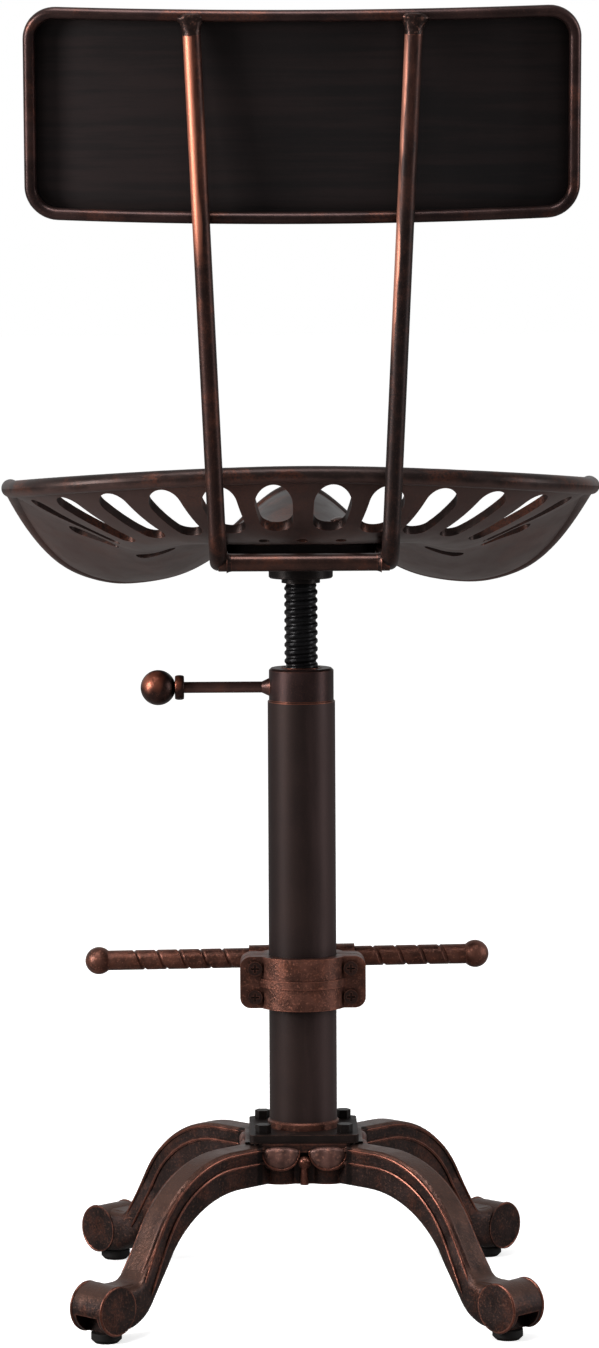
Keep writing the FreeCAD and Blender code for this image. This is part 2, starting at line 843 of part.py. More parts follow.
def screwProfile():
    """Half the section of the screw: a spigot, rounded thread crests and the head."""
    crest = d.screwDiameter / 2
    root = d.screwRoot / 2
    spigotBottom = screwShoulder - d.runningClearance - d.guideHeight - d.retainerHeight
    spigotBottom = spigotBottom - d.runningClearance - d.spigotTail
    corners = [
        (0, spigotBottom),
        (d.screwSpigot / 2, spigotBottom),
        (d.screwSpigot / 2, screwShoulder),
        (root, screwShoulder),
    ]
    turns = int((screwTop.value - screwShoulder.value) / d.screwPitch.value)
    for turn in range(turns):
        level = screwTop - d.screwPitch * (turns - turn)
        corners.append((root, level))
        corners.append((crest, level + d.screwFlank))
        corners.append((crest, level + d.screwFlank + d.screwCrest))
        corners.append((root, level + d.screwFlank * 2 + d.screwCrest))
    corners.append((root, screwTop))
    corners.append((d.screwHead / 2, screwTop))
    corners.append((d.screwHead / 2, recessFloor))
    corners.append((0, recessFloor))
    return corners


def turnedShape(corners):
    """The solid of revolution of a profile of radii and levels."""
    points = [Vector(measure(radius).value, 0, measure(level).value) for radius, level in corners]
    face = Part.Face(Part.makePolygon(points + points[:1]))
    return face.revolve(Vector(0, 0, 0), Vector(0, 0, 1), 360)


def makeScrew():
    node("height_screw", shaped("HeightScrew", turnedShape(screwProfile())))
    guideTop = screwShoulder - d.runningClearance
    spigotBore = d.screwSpigot / 2 + d.rivetClearance
    tubeBore = d.columnDiameter / 2 - d.columnWall
    node("screw_guide", turned("ScrewGuide", [
        (spigotBore, guideTop - d.guideHeight),
        (tubeBore - d.runningClearance, guideTop - d.guideHeight),
        (tubeBore - d.runningClearance, guideTop),
        (spigotBore, guideTop),
    ]))
    retainerTop = guideTop - d.guideHeight - d.runningClearance
    node("screw_retainer", turned("ScrewRetainer", [
        (d.screwSpigot / 2 + d.fitClearance, retainerTop - d.retainerHeight),
        (d.retainerDiameter / 2, retainerTop - d.retainerHeight),
        (d.retainerDiameter / 2, retainerTop),
        (d.screwSpigot / 2 + d.fitClearance, retainerTop),
    ]))
    recess = d.rivetRecess / 2
    headBore = d.screwHead / 2 + d.fitClearance
    outer = d.flangeDiameter / 2
    node("screw_flange", turned("ScrewFlange", [
        (headBore, screwTop),
        (d.flangeHubDiameter / 2, screwTop),
        (d.flangeHubDiameter / 2, flangeBottom),
        (outer - d.flangeBevel, flangeBottom),
        (outer, flangeBottom + d.flangeBevel),
        (outer, lowerPlateBottom),
        (recess, lowerPlateBottom),
        (recess, recessFloor),
        (headBore, recessFloor),
    ]))


# Swivel: two plates with a caged ring of balls between them, held by a rivet

def makeSwivel():
    lower = newBody("SwivelLowerPlate")
    face = newSketch(lower, "LowerPlateFace", "XY_Plane", 0, lowerPlateBottom)
    roundedRectangle(face, d.swivelWidth, d.swivelWidth, d.swivelCorner)
    circle(face, 0, 0, d.rivetDiameter + d.rivetClearance * 2)
    pad(lower, face, d.swivelThickness)
    node("swivel_lower_plate", lower)
    middle = lowerPlateTop + d.raceGap / 2
    race = (d.cageDiameter + d.cageBore) / 4
    cage = newBody("BallCage")
    cageFace = newSketch(cage, "CageFace", "XY_Plane", 0, middle - d.cageThickness / 2)
    circle(cageFace, 0, 0, d.cageDiameter)
    circle(cageFace, 0, 0, d.cageBore)
    pad(cage, cageFace, d.cageThickness)
    pocketFace = newSketch(cage, "CagePocket", "XY_Plane", 0, middle - d.cageThickness / 2)
    circle(pocketFace, race, 0, d.ballPocket)
    hole = pocket(cage, pocketFace, d.cageThickness, False, True)
    document.recompute()
    pattern = quarterPattern(cage, "CagePockets", [hole])
    pattern.Occurrences = int(d.ballCount.value)
    node("ball_cage", cage)
    balls = []
    for number in range(int(d.ballCount.value)):
        turn = 360.0 * number / int(d.ballCount.value)
        balls.append(ball("Ball%d" % number, d.ballDiameter, race * cosine(turn), race * sine(turn), middle))
    node("swivel_balls", group("SwivelBalls", balls))
    node("swivel_upper_plate", turned("SwivelUpperPlate", [
        (d.rivetDiameter / 2 + d.fitClearance, upperPlateBottom),
        (d.upperPlateDiameter / 2, upperPlateBottom),
        (d.upperPlateDiameter / 2, upperPlateTop),
        (d.rivetDiameter / 2 + d.fitClearance, upperPlateTop),
    ]))
    headBottom = lowerPlateBottom - d.rivetHeadHeight - d.runningClearance / 2
    node("swivel_rivet", turned("SwivelRivet", [
        (0, headBottom),
        (d.rivetHead / 2, headBottom),
        (d.rivetHead / 2, headBottom + d.rivetHeadHeight),
        (d.rivetDiameter / 2, headBottom + d.rivetHeadHeight),
        (d.rivetDiameter / 2, upperPlateTop),
        (d.rivetHead / 2, upperPlateTop),
        (d.rivetHead / 2, upperPlateTop + d.rivetHeadHeight),
        (0, upperPlateTop + d.rivetHeadHeight),
    ]))


# Seat pan: a formula for its upper surface and one for its outline

def seatEdge(turn):
    """The point of the seat's outline at an angle from the rear, before its rim."""
    across = abs(math.sin(math.radians(turn)))
    along = math.cos(math.radians(turn))
    reach = d.seatRear.value if along > 0 else d.seatFront.value
    power = d.seatSquareness.value
    radius = ((across / d.seatHalfWidth.value) ** power + (abs(along) / reach) ** power) ** (-1 / power)
    if along < 0:
        sideways = radius * across / d.seatNotchWidth.value
        radius *= 1 - d.seatNotch.value * math.exp(-sideways ** 2)
    return Vector(-radius * math.sin(math.radians(turn)), radius * along, 0)


def smooth(value):
    value = min(max(value, 0.0), 1.0)
    return value * value * (3 - 2 * value)


def seatTop(x, y):
    """Height of the pan's upper surface: a dished back, a trough each side and a drooping lip."""
    power = d.seatSquareness.value
    behind = max(y, 0.0) / d.seatRear.value
    beside = abs(x) / d.seatHalfWidth.value
    share = (beside ** power + behind ** power) ** (1 / power)
    steep = (share - d.seatFlat.value) / (1 - d.seatFlat.value)
    rise = max(steep, 0.0) ** d.seatRisePower.value
    if steep > 1:
        rise = 1 + d.seatRisePower.value * (steep - 1)
    rearward = behind / max(math.hypot(behind, beside), 1e-6)
    height = d.seatSideRise.value + (d.seatRearRise.value - d.seatSideRise.value) * rearward ** 2
    dip = math.exp(-((abs(x) - d.seatTroughPlace.value) / d.seatTroughWidth.value) ** 2)
    dip *= d.seatTrough.value * (1 - smooth(y / d.seatTroughPlace.value))
    bowl = seatCentre.value + height * rise - dip
    if y >= 0:
        return bowl
    lip = seatCentre.value - d.seatLipDrop.value
    lip += d.seatPommel.value * math.exp(-(x / d.seatPommelWidth.value) ** 2)
    outward = max(0.0, abs(x) - d.seatLipPlace.value) / d.seatLipReach.value
    lip += d.seatLipRise.value * outward ** d.seatLipPower.value
    blend = smooth(-y / d.seatLipDepth.value)
    return bowl * (1 - blend) + lip * blend


def seatSlope(x, y):
    step = 0.5
    along = (seatTop(x + step, y) - seatTop(x - step, y)) / (2 * step)
    across = (seatTop(x, y + step) - seatTop(x, y - step)) / (2 * step)
    return math.sqrt(1 + along ** 2 + across ** 2)


def seatSkin(depth):
    """A smooth face through the formula, a part of the wall's thickness below the top."""
    columns = 41
    rows = 35
    width = (d.seatHalfWidth + d.seatSkinMargin).value
    back = (d.seatRear + d.seatSkinMargin).value
    front = (d.seatFront + d.seatSkinMargin).value
    grid = []
    for column in range(columns):
        x = -width + 2 * width * column / (columns - 1)
        line = []
        for row in range(rows):
            y = -front + (front + back) * row / (rows - 1)
            line.append(Vector(x, y, seatTop(x, y) - depth * seatSlope(x, y)))
        grid.append(line)
    surface = Part.BSplineSurface()
    surface.interpolate(grid)
    return surface.toShape()


def slotPrism(turn, inner, outer, innerWidth, outerWidth):
    """An upright prism through the pan: a slot with round ends, wider at its outer end."""
    edge = seatEdge(turn)
    along = Vector(edge).normalize()
    side = Vector(-along.y, along.x, 0)
    small = innerWidth / 2
    large = outerWidth / 2
    start = edge * inner + along * small
    end = edge * outer - along * large
    tilt = math.asin((large - small) / (end - start).Length)
    lean = along * -math.sin(tilt)
    left = side * math.cos(tilt) + lean
    right = side * -math.cos(tilt) + lean
    edges = [
        Part.LineSegment(start + left * small, end + left * large).toShape(),
        Part.Arc(end + left * large, end + along * large, end + right * large).toShape(),
        Part.LineSegment(end + right * large, start + right * small).toShape(),
        Part.Arc(start + right * small, start - along * small, start + left * small).toShape(),
    ]
    face = Part.Face(Part.Wire(edges))
    face.translate(Vector(0, 0, (seatCentre - d.cutterReach).value))
    return face.extrude(Vector(0, 0, 2 * d.cutterReach.value))


def rimTurn(distance):
    """The angle from the rear of the point that lies a distance along the outline."""
    turn = 0.0
    walked = 0.0
    while walked < distance:
        walked += (seatEdge(turn + 1) - seatEdge(turn)).Length
        turn += 1
    return turn


def seatSlots():
    """Pairs of slots from the rear to the front, and three small holes behind the seat's middle."""
    prisms = []
    for index in range(int(d.slotCount.value)):
        turn = rimTurn((index + 0.5) * d.slotSpacing.value)
        inner = d.slotStart - d.slotStartStep * index
        outer = d.slotEnd - d.slotEndStep * index
        narrow = d.slotNarrow - d.slotNarrowStep * index
        wide = d.slotWide - d.slotWideStep * index
        for side in (1, -1):
            prisms.append(slotPrism(side * turn, inner.value, outer.value, narrow.value, wide.value))
    for side in (1, -1):
        prisms.append(slotPrism(side * d.frontSlotTurn.value, d.frontSlotStart.value,
                                d.frontSlotEnd.value, d.frontSlotNarrow.value, d.frontSlotWide.value))
        prisms.append(slotPrism(side * d.lastSlotTurn.value, d.lastSlotStart.value,
                                d.lastSlotEnd.value, d.lastSlotNarrow.value, d.lastSlotWide.value))
    below = Vector(0, 0, (seatCentre - d.cutterReach).value)
    holeTurn = d.smallHoleTurn.value
    for turn in (-holeTurn, 0, holeTurn):
        spot = seatEdge(turn) * d.smallHolePlace.value + below
        prisms.append(Part.makeCylinder(d.smallHole.value / 2, 2 * d.cutterReach.value, spot))
    return prisms


def makeSeatPan():
    outlineStep = 4
    outlinePoints = [seatEdge(turn) for turn in range(0, 360, outlineStep)]
    border = Part.BSplineCurve()
    border.interpolate(Points=outlinePoints, PeriodicFlag=True)
    floor = Part.Face(Part.Wire(border.toShape()))
    floor.translate(Vector(0, 0, (seatCentre - d.cutterReach).value))
    prism = floor.extrude(Vector(0, 0, 2 * d.cutterReach.value))
    below = Vector(0, 0, -2 * d.cutterReach.value)
    upper = seatSkin(0).extrude(below)
    lower = seatSkin(d.seatWall.value).extrude(below)
    pan = upper.cut(lower).common(prism)
    rimPoints = []
    for point in outlinePoints:
        middle = seatTop(point.x, point.y) - seatSlope(point.x, point.y) * d.seatWall.value / 2
        rimPoints.append(Vector(point.x, point.y, middle))
    rimLine = Part.BSplineCurve()
    rimLine.interpolate(Points=rimPoints, PeriodicFlag=True)
    spine = Part.Wire(rimLine.toShape())
    tangent = rimLine.tangent(rimLine.FirstParameter)[0]
    section = Part.Wire(Part.makeCircle(d.seatBead.value / 2, rimPoints[0], tangent))
    sweep = Part.BRepOffsetAPI.MakePipeShell(spine)
    sweep.setBiNormalMode(Vector(0, 0, 1))
    sweep.add(section, False, True)
    sweep.build()
    sweep.makeSolid()
    bead = sweep.shape()
    boss = Part.makeBox(d.seatBossWidth.value, d.seatBossDepth.value, d.seatWall.value,
                        Vector(-d.seatBossWidth.value / 2, -d.seatBossDepth.value / 2, mountTop.value))
    pan = pan.cut(seatSlots()).fuse([bead, boss])
    pads = []
    holes = []
    for x, y in FOUR_CORNERS:
        spot = Vector(x * d.seatBoltAcross.value / 2, y * d.seatBoltAlong.value / 2, mountTop.value)
        height = (seatCentre + d.boltPadRise - mountTop).value
        pads.append(Part.makeCylinder(d.boltPadDiameter.value / 2, height, spot))
        holes.append(Part.makeCylinder((d.seatBoltDiameter + d.boltClearance * 2).value / 2, height * 2, spot))
    pan = pan.fuse(pads).cut(holes)
    node("seat_pan", shaped("SeatPan", pan.Solids[0]))


# Under the seat: mount plate, carriage bolts and nuts

def makeMount():
    plate = newBody("MountPlate")
    face = newSketch(plate, "MountFace", "XY_Plane", 0, upperPlateTop)
    mountWidth = (d.backRodArm - d.backRodDiameter / 2) * 2
    roundedRectangle(face, mountWidth, d.mountDepth, d.mountCorner)
    circle(face, 0, 0, d.rivetRecess)
    pad(plate, face, d.mountThickness)
    holes = newSketch(plate, "MountHoles", "XY_Plane", 0, upperPlateTop)
    bore = d.seatBoltDiameter + d.boltClearance * 2
    for x, y in FOUR_CORNERS:
        circle(holes, d.seatBoltAcross / 2 * x, d.seatBoltAlong / 2 * y, bore)
    pocket(plate, holes, d.mountThickness, False, True)
    node("back_mount_plate", plate)
    bolts = []
    nuts = []
    padTop = seatCentre + d.boltPadRise
    nutBottomLevel = upperPlateTop - d.seatNutHeight
    headRadius = d.seatBoltHead / 2
    crown = d.seatBoltHeadHeight - d.seatBoltHeadEdge
    crownRadius = (headRadius * headRadius + crown * crown) / (crown * 2)
    for number, (x, y) in enumerate(FOUR_CORNERS, start=1):
        spot = (d.seatBoltAcross / 2 * x, d.seatBoltAlong / 2 * y)
        bolt = turned("SeatBolt%d" % number, [
            (0, nutBottomLevel),
            (d.seatBoltDiameter / 2, nutBottomLevel),
            (d.seatBoltDiameter / 2, padTop),
            (headRadius, padTop),
            (headRadius, padTop + d.seatBoltHeadEdge),
            (0, padTop + d.seatBoltHeadHeight, crownRadius),
        ])
        bolts.append(place(bolt, spot[0], spot[1], 0))
        blank = hexagon("SeatNutBlank%d" % number, d.seatNut, d.seatNutHeight,
                        spot[0], spot[1], nutBottomLevel)
        hole = cylinder("SeatNutHole%d" % number, d.seatBoltDiameter + d.fitClearance * 2, d.seatNutHeight,
                        spot[0], spot[1], nutBottomLevel)
        nuts.append(cut("SeatNut%d" % number, blank, hole))
    node("seat_bolts", group("SeatBolts", bolts))
    node("seat_nuts", group("SeatNuts", nuts))


# Back frame and backrest

def leanVector(x, depth, height):
    """A point of the leaning panel, given across, rearwards and up its own face."""
    lean = d.panelLean.value
    turn = Rotation(Vector(1, 0, 0), -lean)
    base = Vector(0, d.panelPlace.value - d.panelDepth.value, d.panelBottom.value)
    return turn.multVec(Vector(x, depth, height)) + base


def panelSag(x):
    """How far the curved panel has gone forward at a distance from its middle."""
    outer = d.panelCurve.value + d.panelDepth.value
    return outer - math.sqrt(outer ** 2 - x ** 2)


def rodPath(side):
    """The wire along one back rod: from under the seat, round its bend and up to the top rim."""
    rimRadius = d.panelRim.value / 2
    rodRadius = d.backRodDiameter.value / 2
    rise = d.panelHeight.value - d.panelRim.value
    behind = rimRadius + rodRadius + d.contactGap.value
    lowX = (d.backRodArm.value + d.backRodTop.value * 2) / 3
    topX = d.backRodTop.value
    low = leanVector(lowX, d.panelDepth.value - panelSag(lowX) + behind, 0)
    top = leanVector(topX, d.panelDepth.value - panelSag(topX), rise)
    direction = (top - low).normalize()
    armLevel = d.armHeight.value
    drop = (low.z - armLevel) / direction.z
    corner = low - direction * drop
    corner = Vector(d.backRodArm.value, corner.y, armLevel)
    direction = (top - corner).normalize()
    end = top - direction * (rimRadius + d.contactGap.value)
    start = Vector(corner.x, d.backRodFront.value, armLevel)
    forward = (start - corner).normalize()
    angle = forward.getAngle(direction)
    tangent = d.backRodBend.value / math.tan(angle / 2)
    bendStart = corner + forward * tangent
    bendEnd = corner + direction * tangent
    inward = (forward + direction).normalize()
    centre = corner + inward * (d.backRodBend.value / math.sin(angle / 2))
    bendMiddle = centre - inward * d.backRodBend.value
    edges = [
        Part.LineSegment(start, bendStart).toShape(),
        Part.Arc(bendStart, bendMiddle, bendEnd).toShape(),
        Part.LineSegment(bendEnd, end).toShape(),
    ]
    wire = Part.Wire(edges)
    if side < 0:
        wire = wire.mirror(Vector(0, 0, 0), Vector(1, 0, 0))
    return wire


def sweptRod(wire, diameter):
    first = wire.OrderedEdges[0]
    start = first.valueAt(first.FirstParameter)
    along = first.tangentAt(first.FirstParameter)
    section = Part.Wire(Part.makeCircle(diameter / 2, start, along))
    return wire.makePipeShell([section], True, True)


def makeBackFrame():
    rods = []
    for name, side in (("back_rod_left", 1), ("back_rod_right", -1)):
        rod = shaped(name.title().replace("_", ""), sweptRod(rodPath(side), d.backRodDiameter.value))
        rods.append(node(name, rod))
    bar = cylinder("CrossRodBlank", d.backRodDiameter, d.backRodArm * 2,
                   -d.backRodArm, d.crossRodPlace, d.armHeight, ALONG_X)
    node("back_cross_rod", cut("CrossRod", bar, group("BothRods", rods)))


def panelShape(width, height, corner, near, far):
    """A round-cornered plate bent round the sitter's back, between two depths."""
    forward = 2 * panelSag(width / 2) + d.panelDepth.value
    blank = Part.makeBox(width, forward + 2 * d.panelDepth.value, height, Vector(-width / 2, -forward, 0))
    upright = [edge for edge in blank.Edges if abs(edge.tangentAt(0).y) > 0.9]
    blank = blank.makeFillet(corner, upright)
    centre = Vector(0, -d.panelCurve.value, -height)
    outer = Part.makeCylinder(d.panelCurve.value + far, height * 3, centre)
    inner = Part.makeCylinder(d.panelCurve.value + near, height * 3, centre)
    return blank.common(outer.cut(inner))


def makeBackrest():
    rim = d.panelRim.value
    width = d.panelWidth.value - rim
    height = d.panelHeight.value - rim
    corner = d.panelCorner.value - rim / 2
    thin = d.panelSheet.value
    lean = Placement(leanVector(0, 0, 0), Rotation(Vector(1, 0, 0), -d.panelLean.value))
    front = panelShape(width, height, corner, 0, thin)
    wallDepth = d.panelDepth.value - rim / 2
    wall = panelShape(width, height, corner, 0, wallDepth)
    hollow = panelShape(width - 2 * thin, height - 2 * thin, corner - thin, -thin, wallDepth + thin)
    hollow.translate(Vector(0, 0, thin))
    tray = wall.cut(hollow).fuse(front).removeSplitter()
    panel = shaped("BackrestPanel", tray)
    panel.Placement = lean
    node("backrest_panel", panel)
    plate = panelShape(width, height, corner, 0, d.panelDepth.value)
    outerRadius = d.panelCurve.value + d.panelDepth.value
    faces = [face for face in plate.Faces
             if isinstance(face.Surface, Part.Cylinder) and abs(face.Surface.Radius - outerRadius) < CLOSE]
    path = faces[0].OuterWire
    first = path.OrderedEdges[0]
    section = Part.Wire(Part.makeCircle(rim / 2, first.valueAt(first.FirstParameter),
                                        first.tangentAt(first.FirstParameter)))
    bead = Part.BRepOffsetAPI.MakePipeShell(path)
    bead.setFrenetMode(False)
    bead.add(section, False, True)
    bead.build()
    bead.makeSolid()
    rimNode = shaped("BackrestRim", bead.shape())
    rimNode.Placement = lean
    node("backrest_rim", rimNode)


# Footrest: a clamp round the column, and a twisted bar with ball ends in front of it

def clampHalf(name, side):
    """One half of the clamp: a half band with two flanges, split on the plane through the column."""
    body = newBody(name)
    bore = d.columnDiameter / 2 + d.runningClearance
    band = bore + d.clampWall
    face = newSketch(body, name + "Flanges", "XY_Plane", 0, d.clampBottom)
    near = d.clampSplit / 2 * side
    far = d.clampDepth / 2 * side
    half = d.clampWidth / 2
    outline(face, [
        (-half, near),
        (half, near),
        (half, far),
        (-half, far),
    ])
    pad(body, face, d.clampHeight)
    disc = newSketch(body, name + "Band", "XY_Plane", 0, d.clampBottom)
    circle(disc, 0, 0, band * 2)
    pad(body, disc, d.clampHeight)
    rib = newSketch(body, name + "Rib", "XY_Plane", 0, d.clampBottom + (d.clampHeight - d.clampRib) / 2)
    circle(rib, 0, 0, (band + d.clampRibRise) * 2)
    pad(body, rib, d.clampRib)
    document.recompute()
    other = newSketch(body, name + "Split", "XY_Plane", 0, d.clampBottom)
    reach = band * 2
    outline(other, [
        (-reach, near),
        (-reach, -reach * side),
        (reach, -reach * side),
        (reach, near),
    ])
    pocket(body, other, d.clampHeight, False, True)
    hole = newSketch(body, name + "Bore", "XY_Plane", 0, d.clampBottom)
    circle(hole, 0, 0, bore * 2)
    pocket(body, hole, d.clampHeight, False, True)
    screws = newSketch(body, name + "ScrewHoles", "XZ_Plane")
    middle = d.clampBottom + d.clampHeight / 2
    for x, z in FOUR_CORNERS:
        circle(screws, d.clampBoltSpacing / 2 * x, middle + d.clampBoltPitch / 2 * z,
               d.clampBoltDiameter + d.boltClearance * 2)
    pocket(body, screws, d.clampDepth * 2, True)
    document.recompute()
    drilled = body.Tip
    corners = []
    for number, edge in enumerate(drilled.Shape.Edges, start=1):
        alongDepth = abs(edge.tangentAt(edge.FirstParameter).y) > 1 - CLOSE
        atEnd = abs(abs(edge.CenterOfMass.x) - half.value) < CLOSE
        if alongDepth and atEnd:
            corners.append("Edge%d" % number)
    rounding = body.newObject("PartDesign::Fillet", name + "Rounding")
    rounding.Base = (drilled, corners)
    bind(rounding, "Radius", d.clampCorner)
    return body


def makeClamp():
    node("clamp_rear_half", clampHalf("ClampRear", 1))
    front = clampHalf("ClampFront", -1)
    boss = block("BarBoss", d.bossWidth, d.barPlace - d.columnDiameter / 2, d.bossHeight,
                 0, -(d.barPlace + d.columnDiameter / 2) / 2, barLevel - d.bossHeight / 2)
    columnSpace = cylinder("BossBore", d.columnDiameter + d.clampWall, d.bossHeight * 2,
                           0, 0, barLevel - d.bossHeight)
    sleeve = onBar(barCylinder("BarSleeve", d.sleeveDiameter, d.sleeveLength), -d.barShift)
    barSpace = onBar(barCylinder("BarSpace", d.barDiameter + d.fitClearance * 2, d.barBallCentre * 2))
    whole = fused("ClampFrontWhole", [front, cut("BossTrimmed", boss, columnSpace), sleeve])
    node("clamp_front_half", cut("ClampFrontDrilled", whole, barSpace))
    screws = []
    nuts = []
    middle = d.clampBottom + d.clampHeight / 2
    face = d.clampDepth / 2
    for number, (x, z) in enumerate(FOUR_CORNERS, start=1):
        across = d.clampBoltSpacing / 2 * x
        level = middle + d.clampBoltPitch / 2 * z
        shank = cylinder("ClampShank%d" % number, d.clampBoltDiameter, d.clampDepth + d.clampNutHeight,
                         across, -face - d.clampNutHeight, level, ALONG_Y)
        head = cylinder("ClampHead%d" % number, d.clampScrewHead, d.clampScrewHeadHeight,
                        across, face, level, ALONG_Y)
        slotA = block("RecessA%d" % number, d.recessLength, d.recessDepth * 2, d.recessWidth,
                      across, face + d.clampScrewHeadHeight, level - d.recessWidth / 2)
        slotB = block("RecessB%d" % number, d.recessWidth, d.recessDepth * 2, d.recessLength,
                      across, face + d.clampScrewHeadHeight, level - d.recessLength / 2)
        whole = fused("ClampScrewBlank%d" % number, [shank, head])
        screws.append(cut("ClampScrew%d" % number, whole, fused("Recess%d" % number, [slotA, slotB])))
        blank = hexagon("ClampNutBlank%d" % number, d.clampNut, d.clampNutHeight,
                        across, -face - d.clampNutHeight, level, ALONG_Y)
        hole = cylinder("ClampNutHole%d" % number, d.clampBoltDiameter + d.fitClearance * 2,
                        d.clampNutHeight, across, -face - d.clampNutHeight, level, ALONG_Y)
        nuts.append(cut("ClampNut%d" % number, blank, hole))
    node("clamp_screws", group("ClampScrews", screws))
    node("clamp_nuts", group("ClampNuts", nuts))


def barCylinder(name, diameter, length):
    """A cylinder about the bar's axis, in the middle of the bar's own frame."""
    return group(name, [cylinder(name + "Round", diameter, length, -measure(length) / 2, 0, 0, ALONG_X)])


def onBar(thing, x=0):
    """Move a thing from the bar's own frame to its place in the footrest."""
    tilt = Rotation(Vector(0, 1, 0), d.barTilt.value)
    across = measure(x) * cosine(d.barTilt) + d.barShift
    return place(thing, across, -d.barPlace, barLevel - measure(x) * sine(d.barTilt), tilt)


def grooveTool(name, side):
    """A coiled round cutter that leaves a shallow spiral groove in one arm of the bar."""
    cutter = d.grooveCutter.value / 2
    radius = d.barDiameter.value / 2 + cutter - d.grooveDepth.value
    height = d.groovePitch.value * d.grooveTurns.value
    helix = Part.makeHelix(d.groovePitch.value, height, radius)
    first = helix.Edges[0]
    section = Part.Wire(Part.makeCircle(cutter, first.valueAt(first.FirstParameter),
                                        first.tangentAt(first.FirstParameter)))
    coil = Part.Wire(helix.Edges).makePipeShell([section], True, True)
    coil.rotate(Vector(0, 0, 0), Vector(0, 1, 0), 90)
    start = d.grooveStart.value if side > 0 else -d.grooveStart.value - height
    coil.translate(Vector(start, 0, 0))
    return shaped(name, coil)


def makeFootrestBar():
    endPlace = d.barBallCentre - d.barBallSeat
    shaft = barCylinder("BarShaft", d.barDiameter, endPlace * 2)
    grooves = group("BarGrooves", [grooveTool("GrooveLeft", 1), grooveTool("GrooveRight", -1)])
    node("footrest_bar", onBar(cut("FootrestBar", shaft, grooves)))
    for name, side in (("footrest_ball_left", 1), ("footrest_ball_right", -1)):
        seamOutwards = Rotation(Vector(0, 0, 1), 90 - 90 * side)
        knob = place(ball(name.title().replace("_", ""), d.barBallDiameter), rotation=seamOutwards)
        length = (d.barBallDiameter / 2 - d.barBallSeat + d.fitClearance) * 2
        socket = cylinder(name + "Socket", d.barDiameter + d.fitClearance * 2, length,
                          -side * (d.barBallSeat - d.fitClearance) - length * (0.5 + side * 0.5), 0, 0, ALONG_X)
        node(name, onBar(cut(name + "Drilled", knob, socket), d.barBallCentre * side))


makeBase()
makeLock()
makeScrew()
makeSwivel()
makeSeatPan()
makeMount()
makeBackFrame()
makeBackrest()
makeClamp()
makeFootrestBar()
document.recompute()

for thing in document.Objects:
    if "Invalid" in thing.State or "Error" in thing.State:
        raise RuntimeError("%s failed: %s" % (thing.Name, thing.getStatusString()))
for name, thing in nodes.items():
    if thing.Shape.isNull() or not thing.Shape.isValid():
        raise RuntimeError("%s has no valid shape" % name)

os.makedirs("parts", exist_ok=True)
for name, thing in nodes.items():
    thing.Shape.exportStep("parts/%s.step" % name)
    print("%-20s %d solids %10.0f mm3" % (name, len(thing.Shape.Solids), thing.Shape.Volume))
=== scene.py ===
import math
import bpy
import bmesh
import numpy as np
from mathutils import Matrix, Vector


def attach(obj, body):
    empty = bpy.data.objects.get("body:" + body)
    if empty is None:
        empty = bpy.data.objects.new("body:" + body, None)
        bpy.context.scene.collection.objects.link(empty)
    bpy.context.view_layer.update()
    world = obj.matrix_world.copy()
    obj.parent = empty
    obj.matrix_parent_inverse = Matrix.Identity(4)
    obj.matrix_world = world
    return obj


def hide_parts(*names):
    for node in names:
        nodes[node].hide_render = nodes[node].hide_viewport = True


# Tractor seat stool. The floor is z = 0, the backrest is at +Y and the lever points to +X.
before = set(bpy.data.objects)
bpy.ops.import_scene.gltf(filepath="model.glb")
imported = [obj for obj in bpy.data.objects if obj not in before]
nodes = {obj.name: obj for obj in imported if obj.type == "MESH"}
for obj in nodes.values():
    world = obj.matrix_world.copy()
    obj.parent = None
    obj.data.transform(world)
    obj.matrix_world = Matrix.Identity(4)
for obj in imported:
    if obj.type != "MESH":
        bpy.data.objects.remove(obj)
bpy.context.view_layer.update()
print("frame loaded:", len(nodes), "nodes")


# Camera: behind the stool, level, with the horizon near the picture's top
cameraSetup = {
    "focal": 4960.0,       # pixels
    "picture": (599, 1348),
    "distance": 3.674,     # from the column's axis
    "height": 0.799,
    "azimuth": 179.2,      # degrees, 180 is straight behind
    "horizon": 218.0,      # pixel row of the eye level
    "axisColumn": 299.0,   # pixel column of the stool's axis at the horizon
    "roll": -0.28,         # degrees, the stool leans so much in the picture
    "sensor": 36.0,        # millimetres
    "reach": 60,
}


def addObject(name, data):
    thing = bpy.data.objects.new(name, data)
    bpy.context.scene.collection.objects.link(thing)
    return thing


def makeCamera(setup):
    data = bpy.data.cameras.new("stoolCamera")
    data.sensor_fit = "VERTICAL"
    data.sensor_height = setup["sensor"]
    width, height = setup["picture"]
    data.lens = setup["focal"] * data.sensor_height / height
    data.shift_y = (setup["horizon"] - height / 2) / height
    data.shift_x = (width / 2 - setup["axisColumn"]) / height
    data.clip_end = setup["reach"]
    camera = addObject("stoolCamera", data)
    turn = math.radians(setup["azimuth"])
    camera.location = (setup["distance"] * math.sin(turn), -setup["distance"] * math.cos(turn),
                       setup["height"])
    away = Vector((-camera.location.x, -camera.location.y, 0))
    level = away.to_track_quat("-Z", "Y").to_matrix().to_4x4()
    roll = Matrix.Rotation(math.radians(setup["roll"]), 4, "Z")
    camera.matrix_world = Matrix.Translation(camera.location) @ level @ roll
    bpy.context.scene.camera = camera


makeCamera(cameraSetup)
bpy.context.scene.view_settings.view_transform = "Standard"


# Node tree helpers
def addNode(tree, kind, **settings):
    node = tree.nodes.new(kind)
    for key, value in settings.items():
        setattr(node, key, value)
    return node


def feed(tree, value, socket):
    # A number or colour is set on the socket, and an output is linked to it
    if isinstance(value, bpy.types.NodeSocket):
        tree.links.new(value, socket)
    elif value is not None:
        socket.default_value = value


def feedAll(tree, node, values):
    for label, value in values.items():
        feed(tree, value, node.inputs[label])


